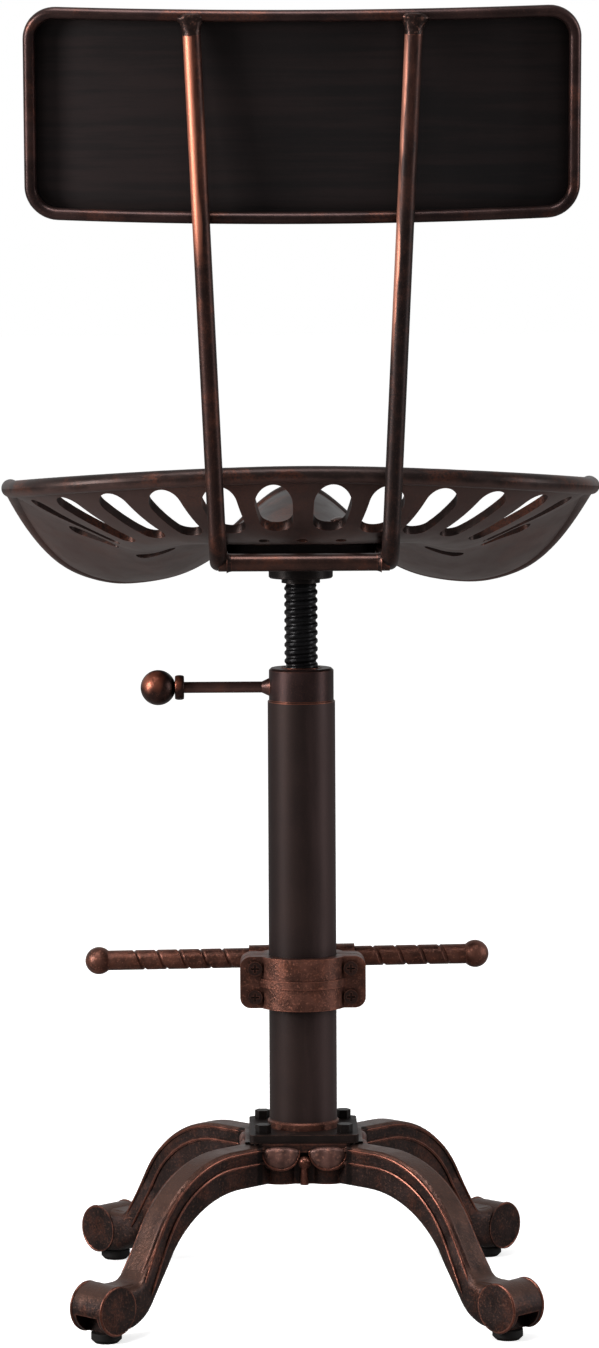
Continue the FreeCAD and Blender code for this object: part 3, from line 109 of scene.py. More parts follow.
def mathNode(tree, operation, first, second=None, clamp=False):
    node = addNode(tree, "ShaderNodeMath", operation=operation, use_clamp=clamp)
    feed(tree, first, node.inputs[0])
    feed(tree, second, node.inputs[1])
    return node.outputs[0]


def blendColours(tree, share, first, second):
    node = addNode(tree, "ShaderNodeMix", data_type="RGBA", blend_type="MIX")
    feed(tree, share, node.inputs[0])
    feed(tree, first, node.inputs[6])
    feed(tree, second, node.inputs[7])
    return node.outputs[2]


def remap(tree, value, low, high, toLow=0.0, toHigh=1.0):
    node = addNode(tree, "ShaderNodeMapRange", interpolation_type="SMOOTHSTEP")
    for socket, number in zip(node.inputs[:5], (value, low, high, toLow, toHigh)):
        feed(tree, number, socket)
    return node.outputs[0]


def dotNode(tree, first, second):
    node = addNode(tree, "ShaderNodeVectorMath", operation="DOT_PRODUCT")
    feed(tree, first, node.inputs[0])
    feed(tree, second, node.inputs[1])
    return node.outputs["Value"]


def splitNode(tree, vector):
    node = addNode(tree, "ShaderNodeSeparateXYZ")
    feed(tree, vector, node.inputs[0])
    return node.outputs


def noiseNode(tree, place, scale, detail, roughness=0.5):
    node = addNode(tree, "ShaderNodeTexNoise")
    feedAll(tree, node, {"Vector": place, "Scale": scale, "Detail": detail, "Roughness": roughness})
    return node.outputs[0]


def drawnNoise(tree, place, stretch, detail, roughness=0.5):
    # Noise drawn out along the directions in which the stretch is small
    mapping = addNode(tree, "ShaderNodeMapping")
    feedAll(tree, mapping, {"Vector": place, "Scale": stretch})
    return noiseNode(tree, mapping.outputs[0], 1.0, detail, roughness)


def glossyRays(tree, rays):
    # One for reflected and refracted rays, and zero for the others
    return mathNode(tree, "ADD", rays["Is Glossy Ray"], rays["Is Transmission Ray"], clamp=True)


def newGroup(name, inputs, outputs):
    # A tuple makes an input for a vector, and a number one for a number
    tree = bpy.data.node_groups.new(name, "ShaderNodeTree")
    for label, value in inputs.items():
        kind = "NodeSocketVector" if isinstance(value, tuple) else "NodeSocketFloat"
        socket = tree.interface.new_socket(label, in_out="INPUT", socket_type=kind)
        socket.default_value = value
    for label in outputs:
        tree.interface.new_socket(label, in_out="OUTPUT", socket_type="NodeSocketFloat")
    return tree, tree.nodes.new("NodeGroupInput").outputs, tree.nodes.new("NodeGroupOutput").inputs


def placeGroup(tree, group, values):
    node = addNode(tree, "ShaderNodeGroup", node_tree=group)
    feedAll(tree, node, values)
    return node.outputs


def rgb(red, green, blue):
    # A colour as seen on a screen, 0 to 255, as linear light
    levels = [channel / 255 for channel in (red, green, blue)]
    linear = [level / 12.92 if level <= 0.04045 else ((level + 0.055) / 1.055) ** 2.4 for level in levels]
    return (*linear, 1.0)


# Shared effects: each group puts out masks, and some put out a height for the bump
effectLook = {
    # open: how free the surroundings of an edge are, looked for within openReach times its radius
    "edge": {"samples": 6, "openSamples": 4, "openReach": 3.0, "open": (0.62, 0.92), "detail": 4.0,
             "torn": (0.38, 0.62)},
    "grain": {"fineDetail": 3.0, "fineRoughness": 0.65, "coarseDetail": 5.0, "coarseHeight": 0.6,
              "specks": (0.52, 0.72), "mottle": (0.3, 0.7)},
    "streak": {"detail": 6.0, "roughness": 0.6},
    "crevice": {"samples": 6},
    # The upper sheen, side and notch effects below paint light and shade into the colour
    "band": {"stretch": (160.0, 160.0, 22.0), "detail": 5.0, "torn": (0.35, 0.6)},
    "patch": {"detail": 6.0, "roughness": 0.62, "start": 0.75, "span": 0.5, "fade": 0.12,
              "grain": 620.0, "grainDetail": 2.0, "grainEdge": (0.3, 0.6)},
    "side": {"stretch": (90.0, 90.0, 12.0), "detail": 5.0, "wander": 0.9, "fade": 0.05},
    "notchShade": {"soft": 1.6, "hard": 0.6},      # in half widths of the notch
}


def makeEdgeWear(look):
    # Rubbed edges: a rounded normal leaves the true one, only where the surroundings are open
    tree, given, out = newGroup("edgeWear", {"Radius": 0.0015, "Gain": 6.0, "Breakup": 0.5, "Scale": 120.0},
                                ["Mask"])
    bevel = addNode(tree, "ShaderNodeBevel", samples=look["samples"])
    feed(tree, given["Radius"], bevel.inputs["Radius"])
    geometry = addNode(tree, "ShaderNodeNewGeometry")
    away = mathNode(tree, "SUBTRACT", 1.0, dotNode(tree, bevel.outputs[0], geometry.outputs["Normal"]))
    edge = mathNode(tree, "MULTIPLY", away, given["Gain"], clamp=True)
    around = addNode(tree, "ShaderNodeAmbientOcclusion", samples=look["openSamples"])
    feed(tree, mathNode(tree, "MULTIPLY", given["Radius"], look["openReach"]), around.inputs["Distance"])
    edge = mathNode(tree, "MULTIPLY", edge, remap(tree, around.outputs["AO"], *look["open"]))
    coords = addNode(tree, "ShaderNodeTexCoord").outputs
    broken = remap(tree, noiseNode(tree, coords["Object"], given["Scale"], look["detail"]), *look["torn"])
    keep = mathNode(tree, "SUBTRACT", 1.0, given["Breakup"])
    torn = mathNode(tree, "MULTIPLY", broken, given["Breakup"])
    share = mathNode(tree, "ADD", keep, torn, clamp=True)
    feed(tree, mathNode(tree, "MULTIPLY", edge, share, clamp=True), out["Mask"])
    return tree


def makePaintedUpperSheen(look):
    # Painted sheen: a lighter tone that sets in over a stretch of height, as where a lamp lights the upper
    # part, and is torn by noise drawn out downwards
    tree, given, out = newGroup("paintedUpperSheen", {"Low": 0.7, "High": 0.85}, ["Mask"])
    coords = addNode(tree, "ShaderNodeTexCoord").outputs
    noise = drawnNoise(tree, coords["Object"], look["stretch"], look["detail"])
    rise = remap(tree, splitNode(tree, coords["Object"])["Z"], given["Low"], given["High"])
    torn = remap(tree, noise, *look["torn"])
    feed(tree, mathNode(tree, "MULTIPLY", rise, torn, clamp=True), out["Mask"])
    return tree


def makePaintedSideLight(look):
    # Painted light: a lighter tone on the side of a piece that faces one way, as where a lamp's highlight or
    # reflection falls, torn by noise drawn out along its height and set in above a given height
    tree, given, out = newGroup("paintedSideLight", {"Way": (1.0, 0.0, 0.0), "Low": 0.4, "High": 0.9, "From": -1.0},
                                ["Mask"])
    coords = addNode(tree, "ShaderNodeTexCoord").outputs
    noise = drawnNoise(tree, coords["Object"], look["stretch"], look["detail"])
    wander = mathNode(tree, "MULTIPLY", mathNode(tree, "SUBTRACT", noise, 0.5), look["wander"])
    facing = mathNode(tree, "ADD", dotNode(tree, coords["Normal"], given["Way"]), wander)
    facing = remap(tree, facing, given["Low"], given["High"])
    full = mathNode(tree, "ADD", given["From"], look["fade"])
    rise = remap(tree, splitNode(tree, coords["Object"])["Z"], given["From"], full)
    feed(tree, mathNode(tree, "MULTIPLY", facing, rise), out["Mask"])
    return tree


def makePaintedNotchShade(look):
    # Painted shade: dark upright stripes for the shade in the notches between the hub's leaves and the roots of
    # the legs, on all four sides
    tree, given, out = newGroup("paintedNotchShade", {"Place": 0.0326, "Half": 0.0018, "Face": 0.036, "Low": 0.086},
                                ["Mask"])
    coords = addNode(tree, "ShaderNodeTexCoord").outputs
    parts = splitNode(tree, coords["Object"])
    wide = mathNode(tree, "ABSOLUTE", parts["X"])
    deep = mathNode(tree, "ABSOLUTE", parts["Y"])
    soft = mathNode(tree, "MULTIPLY", given["Half"], look["soft"])
    hard = mathNode(tree, "MULTIPLY", given["Half"], look["hard"])
    sides = []
    for along, beyond in ((wide, deep), (deep, wide)):
        away = mathNode(tree, "ABSOLUTE", mathNode(tree, "SUBTRACT", along, given["Place"]))
        outside = mathNode(tree, "GREATER_THAN", beyond, given["Face"])
        sides.append(mathNode(tree, "MULTIPLY", remap(tree, away, soft, hard), outside))
    both = mathNode(tree, "MAXIMUM", sides[0], sides[1])
    high = mathNode(tree, "GREATER_THAN", parts["Z"], given["Low"])
    feed(tree, mathNode(tree, "MULTIPLY", both, high), out["Mask"])
    return tree


def makePatches(look):
    # Reddish patches in the patina: broad noise cut hard, with the grain showing through
    tree, given, out = newGroup("redPatches", {"Scale": 30.0, "Cover": 0.5}, ["Mask"])
    coords = addNode(tree, "ShaderNodeTexCoord").outputs
    broad = noiseNode(tree, coords["Object"], given["Scale"], look["detail"], look["roughness"])
    fine = noiseNode(tree, coords["Object"], look["grain"], look["grainDetail"])
    cover = mathNode(tree, "MULTIPLY", given["Cover"], look["span"])
    start = mathNode(tree, "SUBTRACT", look["start"], cover)
    patch = remap(tree, broad, start, mathNode(tree, "ADD", start, look["fade"]))
    feed(tree, mathNode(tree, "MULTIPLY", patch, remap(tree, fine, *look["grainEdge"])), out["Mask"])
    return tree


def makeCastGrain(look):
    # Sand-cast skin: lumps, pits and small bright specks, with a height for the bump
    tree, given, out = newGroup("castGrain", {"Scale": 900.0, "Mottle Scale": 60.0},
                                ["Specks", "Mottle", "Height"])
    coords = addNode(tree, "ShaderNodeTexCoord").outputs
    fine = noiseNode(tree, coords["Object"], given["Scale"], look["fineDetail"], look["fineRoughness"])
    coarse = noiseNode(tree, coords["Object"], given["Mottle Scale"], look["coarseDetail"])
    lumps = mathNode(tree, "MULTIPLY", coarse, look["coarseHeight"])
    feed(tree, remap(tree, fine, *look["specks"]), out["Specks"])
    feed(tree, remap(tree, coarse, *look["mottle"]), out["Mottle"])
    feed(tree, mathNode(tree, "ADD", fine, lumps), out["Height"])
    return tree


def makeStreaks(look):
    # Brushed streaks: noise drawn out along one direction
    tree, given, out = newGroup("brushedStreaks", {"Stretch": (4.0, 90.0, 90.0), "Contrast": 0.2},
                                ["Mask", "Height"])
    coords = addNode(tree, "ShaderNodeTexCoord").outputs
    noise = drawnNoise(tree, coords["Object"], given["Stretch"], look["detail"], look["roughness"])
    low = mathNode(tree, "SUBTRACT", 0.5, given["Contrast"])
    high = mathNode(tree, "ADD", 0.5, given["Contrast"])
    feed(tree, remap(tree, noise, low, high), out["Mask"])
    feed(tree, noise, out["Height"])
    return tree


def makeCrevice(look):
    # Dark patina in corners: how much the surroundings close in
    tree, given, out = newGroup("crevice", {"Distance": 0.012, "Power": 1.5}, ["Mask"])
    shade = addNode(tree, "ShaderNodeAmbientOcclusion", samples=look["samples"])
    feed(tree, given["Distance"], shade.inputs["Distance"])
    closed = mathNode(tree, "SUBTRACT", 1.0, shade.outputs["AO"])
    feed(tree, mathNode(tree, "MULTIPLY", closed, given["Power"], clamp=True), out["Mask"])
    return tree


effectMakers = {"edge": makeEdgeWear, "grain": makeCastGrain, "streak": makeStreaks, "crevice": makeCrevice,
                "band": makePaintedUpperSheen, "patch": makePatches, "side": makePaintedSideLight, "notchShade": makePaintedNotchShade}
effects = {name: maker(effectLook[name]) for name, maker in effectMakers.items()}
print("shared effects built")


def antiqueMetal(name, look):
    # Dark metal whose base, bright copper and painted light tones are mixed by streaks, grain, edges, corners
    # and masks of painted light and shade
    material = bpy.data.materials.new(name)
    material.use_nodes = True
    tree = material.node_tree
    grain = placeGroup(tree, effects["grain"], {"Scale": look["grain"], "Mottle Scale": look["mottle"]})
    streak = placeGroup(tree, effects["streak"], {"Stretch": look["stretch"], "Contrast": look["contrast"]})
    edge = placeGroup(tree, effects["edge"], {"Radius": look["edgeRadius"], "Gain": look["edgeGain"],
                                              "Breakup": look["edgeBreakup"], "Scale": look["edgeScale"]})
    corner = placeGroup(tree, effects["crevice"], {"Distance": look["cornerReach"],
                                                   "Power": look["cornerPower"]})
    patch = placeGroup(tree, effects["patch"], {"Scale": look["patch"], "Cover": look["patchCover"]})
    band = placeGroup(tree, effects["band"], {"Low": look["band"][0], "High": look["band"][1]})
    side = placeGroup(tree, effects["side"], {"Way": look["side"], "Low": look["paintedSideEdge"][0],
                                              "High": look["paintedSideEdge"][1], "From": look["paintedSideFrom"]})
    rubbed = mathNode(tree, "MULTIPLY", streak["Mask"], look["streakShare"])
    mottled = mathNode(tree, "MULTIPLY", grain["Mottle"], look["mottleShare"])
    colour = blendColours(tree, mathNode(tree, "ADD", rubbed, mottled, clamp=True), look["dark"], look["mid"])
    specks = mathNode(tree, "MULTIPLY", grain["Specks"], look["speckShare"])
    # Each layer lies over the ones before it; the upper sheen and side layers are painted light and the notch
    # layer is painted shade
    layers = [(mathNode(tree, "MULTIPLY", patch["Mask"], look["patchShare"]), "red"),
              (mathNode(tree, "MULTIPLY", band["Mask"], look["bandShare"]), "rubbed"),
              (mathNode(tree, "MULTIPLY", side["Mask"], look["paintedSideShare"]), "paintedSideTone"),
              (specks, "bright"),
              (mathNode(tree, "MULTIPLY", corner["Mask"], look["cornerShare"]), "deep"),
              (mathNode(tree, "MULTIPLY", edge["Mask"], look["edgeShare"]), "copper")]
    if look["notchShade"]:
        notchShade = placeGroup(tree, effects["notchShade"], {})
        layers.append((mathNode(tree, "MULTIPLY", notchShade["Mask"], look["notchShade"]), "deep"))
    for share, tone in layers:
        colour = blendColours(tree, share, colour, look[tone])
    height = mathNode(tree, "ADD", mathNode(tree, "MULTIPLY", grain["Height"], look["grainHeight"]),
                      mathNode(tree, "MULTIPLY", streak["Height"], look["streakHeight"]))
    bump = addNode(tree, "ShaderNodeBump")
    feedAll(tree, bump, {"Strength": look["bump"], "Distance": look["bumpDepth"], "Height": height})
    rough = remap(tree, mathNode(tree, "ADD", mottled, specks), 0.0, 1.0, *look["rough"])
    feedAll(tree, tree.nodes["Principled BSDF"], {
        "Base Color": colour, "Roughness": rough, "Metallic": look["metallic"],
        "Specular IOR Level": look["specular"], "Normal": bump.outputs[0]})
    return material


plainLook = {
    "dark": rgb(44, 33, 31), "mid": rgb(70, 50, 45), "bright": rgb(124, 84, 70), "copper": rgb(158, 98, 80),
    # deep is laid both by the crevice patina and by the painted notch shade, and rubbed is the tone of the
    # painted sheen towards the top
    "deep": rgb(20, 15, 14), "red": rgb(108, 62, 46), "rubbed": rgb(168, 104, 84),
    "grain": 900.0, "mottle": 60.0, "mottleShare": 0.5, "speckShare": 0.2, "stretch": (60.0, 60.0, 6.0),
    "contrast": 0.18, "streakShare": 0.5,
    "patch": 30.0, "patchCover": 0.5, "patchShare": 0.0, "band": (0.7, 0.85), "bandShare": 0.0,
    # The side keys paint a lighter tone on the side that faces one way, as where light falls
    "side": (0.0, 0.0, 1.0), "paintedSideEdge": (0.4, 0.8), "paintedSideTone": rgb(150, 96, 78), "paintedSideShare": 0.0,
    "paintedSideFrom": -1.0, "notchShade": 0.0,
    "edgeRadius": 0.0015, "edgeGain": 5.0, "edgeBreakup": 0.7, "edgeScale": 140.0, "edgeShare": 0.5,
    "cornerReach": 0.01, "cornerPower": 1.2, "cornerShare": 0.7, "rough": (0.34, 0.5), "metallic": 0.8,
    "specular": 0.35, "bump": 0.25, "bumpDepth": 0.0004, "grainHeight": 1.0, "streakHeight": 0.3,
}
finishes = {
    "panelDark": dict(plainLook, dark=rgb(28, 26, 27), mid=rgb(42, 34, 34), bright=rgb(54, 42, 41),
                      stretch=(5.0, 40.0, 150.0), contrast=0.12, streakShare=0.5, mottle=9.0, mottleShare=0.3,
                      speckShare=0.05, rough=(0.5, 0.62), metallic=0.3, specular=0.12, bump=0.06,
                      edgeShare=0.2),
    # Lit copy of the back rod's finish: a painted copper highlight on the side that faces the left lamp above a
    # given height, and a painted sheen towards the top
    "litLeftRod": dict(plainLook, dark=rgb(36, 27, 26), mid=rgb(60, 40, 36), stretch=(70.0, 70.0, 7.0),
                    rough=(0.42, 0.52), bump=0.1, band=(0.76, 0.9), bandShare=0.25, patch=60.0, patchShare=0.3,
                    side=(0.8, 0.6, 0.0), paintedSideEdge=(0.5, 0.8), paintedSideTone=rgb(206, 128, 104), paintedSideShare=0.85,
                    paintedSideFrom=0.76, metallic=0.85),
    # Shaded copy of the same back rod's finish: darker, with a thin painted highlight on the side that faces
    # the left lamp and a fainter painted sheen towards the top
    "shadedRightRod": dict(plainLook, dark=rgb(26, 21, 21), mid=rgb(42, 31, 30), stretch=(70.0, 70.0, 7.0),
                     rough=(0.42, 0.52), bump=0.1, band=(0.76, 0.9), bandShare=0.1, patch=60.0, patchShare=0.15,
                     side=(0.94, 0.34, 0.0), paintedSideEdge=(0.75, 0.95), paintedSideTone=rgb(178, 120, 102), paintedSideShare=0.9,
                     paintedSideFrom=0.69, metallic=0.75),
    "copperRod": dict(plainLook, dark=rgb(48, 36, 34), mid=rgb(80, 56, 50), stretch=(7.0, 70.0, 70.0),
                      rough=(0.28, 0.4), bump=0.12, patch=60.0, patchShare=0.35, metallic=0.85),
    "leverCopper": dict(plainLook, dark=rgb(62, 45, 43), mid=rgb(106, 76, 70), stretch=(7.0, 70.0, 70.0),
                        rough=(0.3, 0.42), bump=0.12, patch=60.0, patchShare=0.35, metallic=0.75),
    "panelRim": dict(plainLook, dark=rgb(38, 29, 29), mid=rgb(66, 48, 46), stretch=(8.0, 60.0, 60.0),
                     rough=(0.32, 0.44), bump=0.1, patch=25.0, patchShare=0.35, metallic=0.8, edgeShare=0.15),
    # Here the side tone paints the seat's underside lighter, as painted light from below
    "seatBronze": dict(plainLook, dark=rgb(36, 29, 28), mid=rgb(54, 42, 40), grain=700.0, speckShare=0.12,
                       stretch=(14.0, 14.0, 14.0), rough=(0.36, 0.48), bump=0.1, edgeRadius=0.0016,
                       edgeGain=2.4, edgeShare=0.2, patch=22.0, patchCover=0.55, patchShare=0.5, metallic=0.7,
                       specular=0.25, cornerReach=0.02, side=(0.0, 0.0, -1.0), paintedSideEdge=(0.1, 0.7),
                       paintedSideTone=rgb(98, 76, 72), paintedSideShare=0.6),
    # Here the side tone is a painted lighter grey reflection on the column's side that faces -X
    "columnBrown": dict(plainLook, dark=rgb(34, 26, 26), mid=rgb(46, 34, 32), stretch=(50.0, 50.0, 3.0),
                        contrast=0.2, speckShare=0.04, rough=(0.46, 0.56), bump=0.05, mottle=20.0, metallic=0.5,
                        specular=0.2, side=(-0.9, 0.42, 0.0), paintedSideEdge=(0.35, 0.95), paintedSideTone=rgb(72, 56, 55),
                        paintedSideShare=0.6),
    "castCopper": dict(plainLook, dark=rgb(64, 43, 37), mid=rgb(110, 71, 60), bright=rgb(172, 112, 92),
                       grain=620.0, mottle=110.0, speckShare=0.55, mottleShare=0.7, rough=(0.34, 0.55),
                       bump=0.6, edgeGain=6.0, edgeShare=0.6, patch=80.0, patchShare=0.4),
    # Here the side tone paints the legs' top faces lighter, as where light falls from above, and the notch tone
    # is painted shade at the hub
    "castBase": dict(plainLook, dark=rgb(32, 25, 24), mid=rgb(52, 39, 37), bright=rgb(124, 84, 68),
                     grain=560.0, mottle=70.0, speckShare=0.34, mottleShare=0.6, rough=(0.34, 0.52), bump=0.6,
                     edgeRadius=0.0026, edgeGain=5.0, edgeShare=0.6, cornerReach=0.016, cornerPower=1.6,
                     cornerShare=0.85, patch=40.0, patchShare=0.3, side=(0.0, 0.0, 1.0), paintedSideEdge=(0.25, 0.75),
                     paintedSideTone=rgb(92, 67, 58), paintedSideShare=0.7, notchShade=0.9),
    "leafSand": dict(plainLook, dark=rgb(62, 46, 43), mid=rgb(112, 80, 73), bright=rgb(172, 120, 102),
                     grain=420.0, mottle=160.0, speckShare=0.5, mottleShare=0.7, rough=(0.4, 0.6), bump=0.7,
                     edgeShare=0.4, metallic=0.65),
    "ridgeCopper": dict(plainLook, dark=rgb(74, 46, 39), mid=rgb(124, 76, 63), bright=rgb(166, 108, 88),
                        grain=500.0, mottle=70.0, speckShare=0.5, rough=(0.3, 0.44), bump=0.4, edgeShare=0.1,
                        metallic=0.85, deep=rgb(40, 26, 23), cornerReach=0.004, cornerShare=0.4),
    "weldDark": dict(plainLook, dark=rgb(32, 26, 25), mid=rgb(60, 44, 41), bright=rgb(140, 98, 86), grain=420.0,
                     mottle=260.0, speckShare=0.55, rough=(0.28, 0.45), bump=0.9),
    # Here the side tone is a painted copper highlight on the side of the ball that faces up, towards the camera
    # and the left lamp
    "knobDark": dict(plainLook, dark=rgb(30, 22, 21), mid=rgb(58, 38, 34), bright=rgb(120, 76, 62), grain=700.0,
                     mottle=200.0, speckShare=0.35, rough=(0.34, 0.46), bump=0.3, side=(0.45, 0.75, 0.48),
                     paintedSideEdge=(0.62, 1.05), paintedSideTone=rgb(158, 92, 72), paintedSideShare=0.8),
    "lipCopper": dict(plainLook, dark=rgb(70, 44, 38), mid=rgb(122, 76, 62), bright=rgb(160, 104, 86),
                      stretch=(9.0, 9.0, 9.0), mottle=45.0, mottleShare=0.8, rough=(0.3, 0.44), edgeShare=0.0,
                      cornerShare=0.2),
    "lockBrown": dict(plainLook, dark=rgb(46, 34, 34), mid=rgb(63, 46, 45), rough=(0.38, 0.5), bump=0.2,
                      edgeShare=0.4),
    "blackSteel": dict(plainLook, dark=rgb(22, 20, 20), mid=rgb(32, 28, 27), bright=rgb(50, 44, 42),
                       copper=rgb(80, 60, 54), edgeShare=0.3, metallic=0.6, specular=0.15, rough=(0.36, 0.5)),
    "plateDark": dict(plainLook, dark=rgb(27, 23, 22), mid=rgb(40, 31, 29), bright=rgb(60, 46, 43),
                      copper=rgb(110, 76, 66), edgeShare=0.5, metallic=0.5, specular=0.12, rough=(0.5, 0.62)),
    "screwBlack": dict(plainLook, dark=rgb(17, 17, 19), mid=rgb(28, 28, 30), bright=rgb(60, 60, 62),
                       copper=rgb(58, 56, 58), edgeShare=0.2, metallic=0.6, specular=0.2, rough=(0.28, 0.42)),
    "boltDark": dict(plainLook, dark=rgb(40, 30, 28), mid=rgb(64, 46, 42), rough=(0.2, 0.34), bump=0.1),
    "ballSteel": dict(plainLook, dark=rgb(150, 150, 154), mid=rgb(180, 180, 184), bright=rgb(200, 200, 204),
                      copper=rgb(200, 200, 204), metallic=1.0, rough=(0.12, 0.2), bump=0.0),
    "blackRubber": dict(plainLook, dark=rgb(18, 17, 17), mid=rgb(25, 24, 24), bright=rgb(36, 35, 35),
                        copper=rgb(44, 42, 42), edgeShare=0.3, metallic=0.0, specular=0.2, rough=(0.6, 0.75)),
}
finish = {name: antiqueMetal(name, look) for name, look in finishes.items()}

nodeFinish = {
    "base_casting": "castBase", "base_plate": "plateDark", "base_bolts": "blackSteel",
    "foot_glides": "blackRubber", "glide_studs": "blackSteel", "column_foot_ring": "castCopper",
    "column_tube": "columnBrown", "column_nut": "blackSteel", "lock_collar": "lockBrown",
    "lever_rod": "leverCopper", "lever_ring": "leverCopper", "lever_ball": "knobDark",
    "screw_guide": "blackSteel", "height_screw": "screwBlack",
    "screw_retainer": "blackSteel", "screw_flange": "blackSteel", "swivel_lower_plate": "blackSteel",
    "ball_cage": "blackSteel", "swivel_balls": "ballSteel", "swivel_upper_plate": "blackSteel",
    "swivel_rivet": "blackSteel", "seat_pan": "seatBronze", "back_mount_plate": "blackSteel",
    "seat_bolts": "boltDark", "seat_nuts": "boltDark", "back_rod_left": "litLeftRod", "back_rod_right": "shadedRightRod",
    "back_cross_rod": "copperRod", "backrest_panel": "panelDark", "backrest_rim": "panelRim",
    "clamp_rear_half": "castCopper", "clamp_front_half": "castCopper", "clamp_screws": "boltDark",
    "clamp_nuts": "boltDark", "footrest_bar": "castCopper", "footrest_ball_left": "castCopper",
    "footrest_ball_right": "castCopper",
}
for nodeName, finishName in nodeFinish.items():
    mesh = nodes[nodeName].data
    mesh.materials.clear()
    mesh.materials.append(finish[finishName])
print("finishes:", len(finish))


# Numpy surfaces
meshSetup = {"mergeReach": 1e-6, "sharpAngle": 38}      # metres, degrees
forward = (0.0, 1.0, 0.0)
upward = (0.0, 0.0, 1.0)


def fullTurn(count):
    return np.linspace(0, 2 * np.pi, count, endpoint=False)


def surface(points, capped=True):
    # A grid of points becomes quads, rows along the piece and columns round it. A capped one gets a fan
    # from the middle of each end
    rows, columns = points.shape[:2]
    index = np.arange(rows * columns).reshape(rows, columns)
    beside = np.roll(index, -1, axis=1)
    faces = np.stack([index[:-1], beside[:-1], beside[1:], index[1:]], axis=-1).reshape(-1, 4).tolist()
    corners = points.reshape(-1, 3)
    if capped:
        for row, first, second in ((0, beside, index), (rows - 1, index, beside)):
            middle = np.full(columns, len(corners))
            faces += np.column_stack([middle, first[row], second[row]]).tolist()
            corners = np.vstack([corners, points[row].mean(axis=0)])
    return corners, faces


def joined(parts):
    # Several surfaces as one list of corners and faces
    corners = []
    faces = []
    start = 0
    for places, polygons in parts:
        corners.append(places)
        faces += [[index + start for index in polygon] for polygon in polygons]
        start += len(places)
    return np.vstack(corners), faces


def makePiece(name, parts, finishName, body, replaced=()):
    # Corners in one place are merged, which closes the seams, and the faces are turned outwards
    corners, faces = joined(parts)
    mesh = bpy.data.meshes.new(name)
    mesh.from_pydata(corners.tolist(), [], faces)
    work = bmesh.new()
    work.from_mesh(mesh)
    bmesh.ops.remove_doubles(work, verts=work.verts, dist=meshSetup["mergeReach"])
    bmesh.ops.recalc_face_normals(work, faces=work.faces)
    work.to_mesh(mesh)
    work.free()
    mesh.polygons.foreach_set("use_smooth", [True] * len(mesh.polygons))
    mesh.set_sharp_from_angle(angle=math.radians(meshSetup["sharpAngle"]))
    mesh.materials.append(finish[finishName])
    piece = addObject(name, mesh)
    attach(piece, body)
    if replaced:
        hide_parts(*replaced)


def ringGrid(path, radius, sides, guide):
    # A tube: at each point of the path a circle stands square to it, and the guide settles where its
    # first side lies. The radius has one value for each point, or one for each point and side
    along = np.gradient(path, axis=0)
    along /= np.linalg.norm(along, axis=1, keepdims=True)
    across = np.cross(along, np.array(guide))
    across /= np.linalg.norm(across, axis=1, keepdims=True)
    up = np.cross(across, along)
    turn = fullTurn(sides)[None, :, None]
    size = radius[:, None] if radius.ndim == 1 else radius
    ring = np.cos(turn) * across[:, None, :] + np.sin(turn) * up[:, None, :]
    return path[:, None, :] + size[..., None] * ring


# Height screw: the thread is a wave of the radius that climbs one pitch in each turn
screwShape = {
    "crest": 0.0124, "root": 0.0111, "pitch": 0.006, "flank": 0.0018, "flat": 0.0015,
    "spigot": 0.006, "head": 0.01, "bottom": 0.3019, "shoulder": 0.3165, "top": 0.529, "headTop": 0.5399,
    "rowsPerPitch": 12, "sides": 48, "runOut": 0.004, "spigotChamfer": 0.0006, "headChamfer": 0.0004,
}


def makeScrew(shape):
    # Radius = root + (crest - root) * trapezoid of (height / pitch - turn / 360), faded out at both ends
    rows = int((shape["top"] - shape["shoulder"]) / shape["pitch"] * shape["rowsPerPitch"])
    height = np.linspace(shape["shoulder"], shape["top"], rows)
    turn = fullTurn(shape["sides"])
    phase = (height[:, None] / shape["pitch"] - turn[None, :] / (2 * np.pi)) % 1.0
    away = np.abs(phase - 0.5) * shape["pitch"]
    rise = np.clip((shape["flat"] / 2 + shape["flank"] - away) / shape["flank"], 0, 1)
    rise = rise * rise * (3 - 2 * rise)
    fade = np.minimum(height - shape["shoulder"], shape["top"] - height) / shape["runOut"]
    radius = shape["root"] + (shape["crest"] - shape["root"]) * rise * np.clip(fade, 0, 1)[:, None]
    below, above = shape["spigotChamfer"], shape["headChamfer"]
    lower = np.array([[shape["bottom"], shape["spigot"] - below], [shape["bottom"] + below, shape["spigot"]],
                      [shape["shoulder"], shape["spigot"]]])
    upper = np.array([[shape["top"], shape["head"]], [shape["headTop"] - above, shape["head"]],
                      [shape["headTop"], shape["head"] - above]])
    levels = np.concatenate([lower[:, 0], height, upper[:, 0]])
    sizes = np.vstack([np.repeat(lower[:, 1:], shape["sides"], axis=1), radius,
                       np.repeat(upper[:, 1:], shape["sides"], axis=1)])
    points = np.stack([sizes * np.cos(turn), sizes * np.sin(turn),
                       np.repeat(levels[:, None], shape["sides"], axis=1)], axis=-1)
    makePiece("screwThread", [surface(points)], "screwBlack", "screw", ["height_screw"])


makeScrew(screwShape)
print("height screw: helical thread")


# Bright lips: worn edges of the lock collar and of the column's mouth
lipShape = {
    "steps": 96, "sides": 10,
    "lips": {
        # name: ring radius, level, thickness, body, slot
        "columnLip": (0.0245, 0.4412, 0.0006, "base", "column_brown"),
        "collarFoot": (0.0237, 0.4423, 0.0004, "lock", "brown_steel"),
        "collarMouth": (0.0150, 0.4661, 0.0004, "lock", "brown_steel"),
    },
}


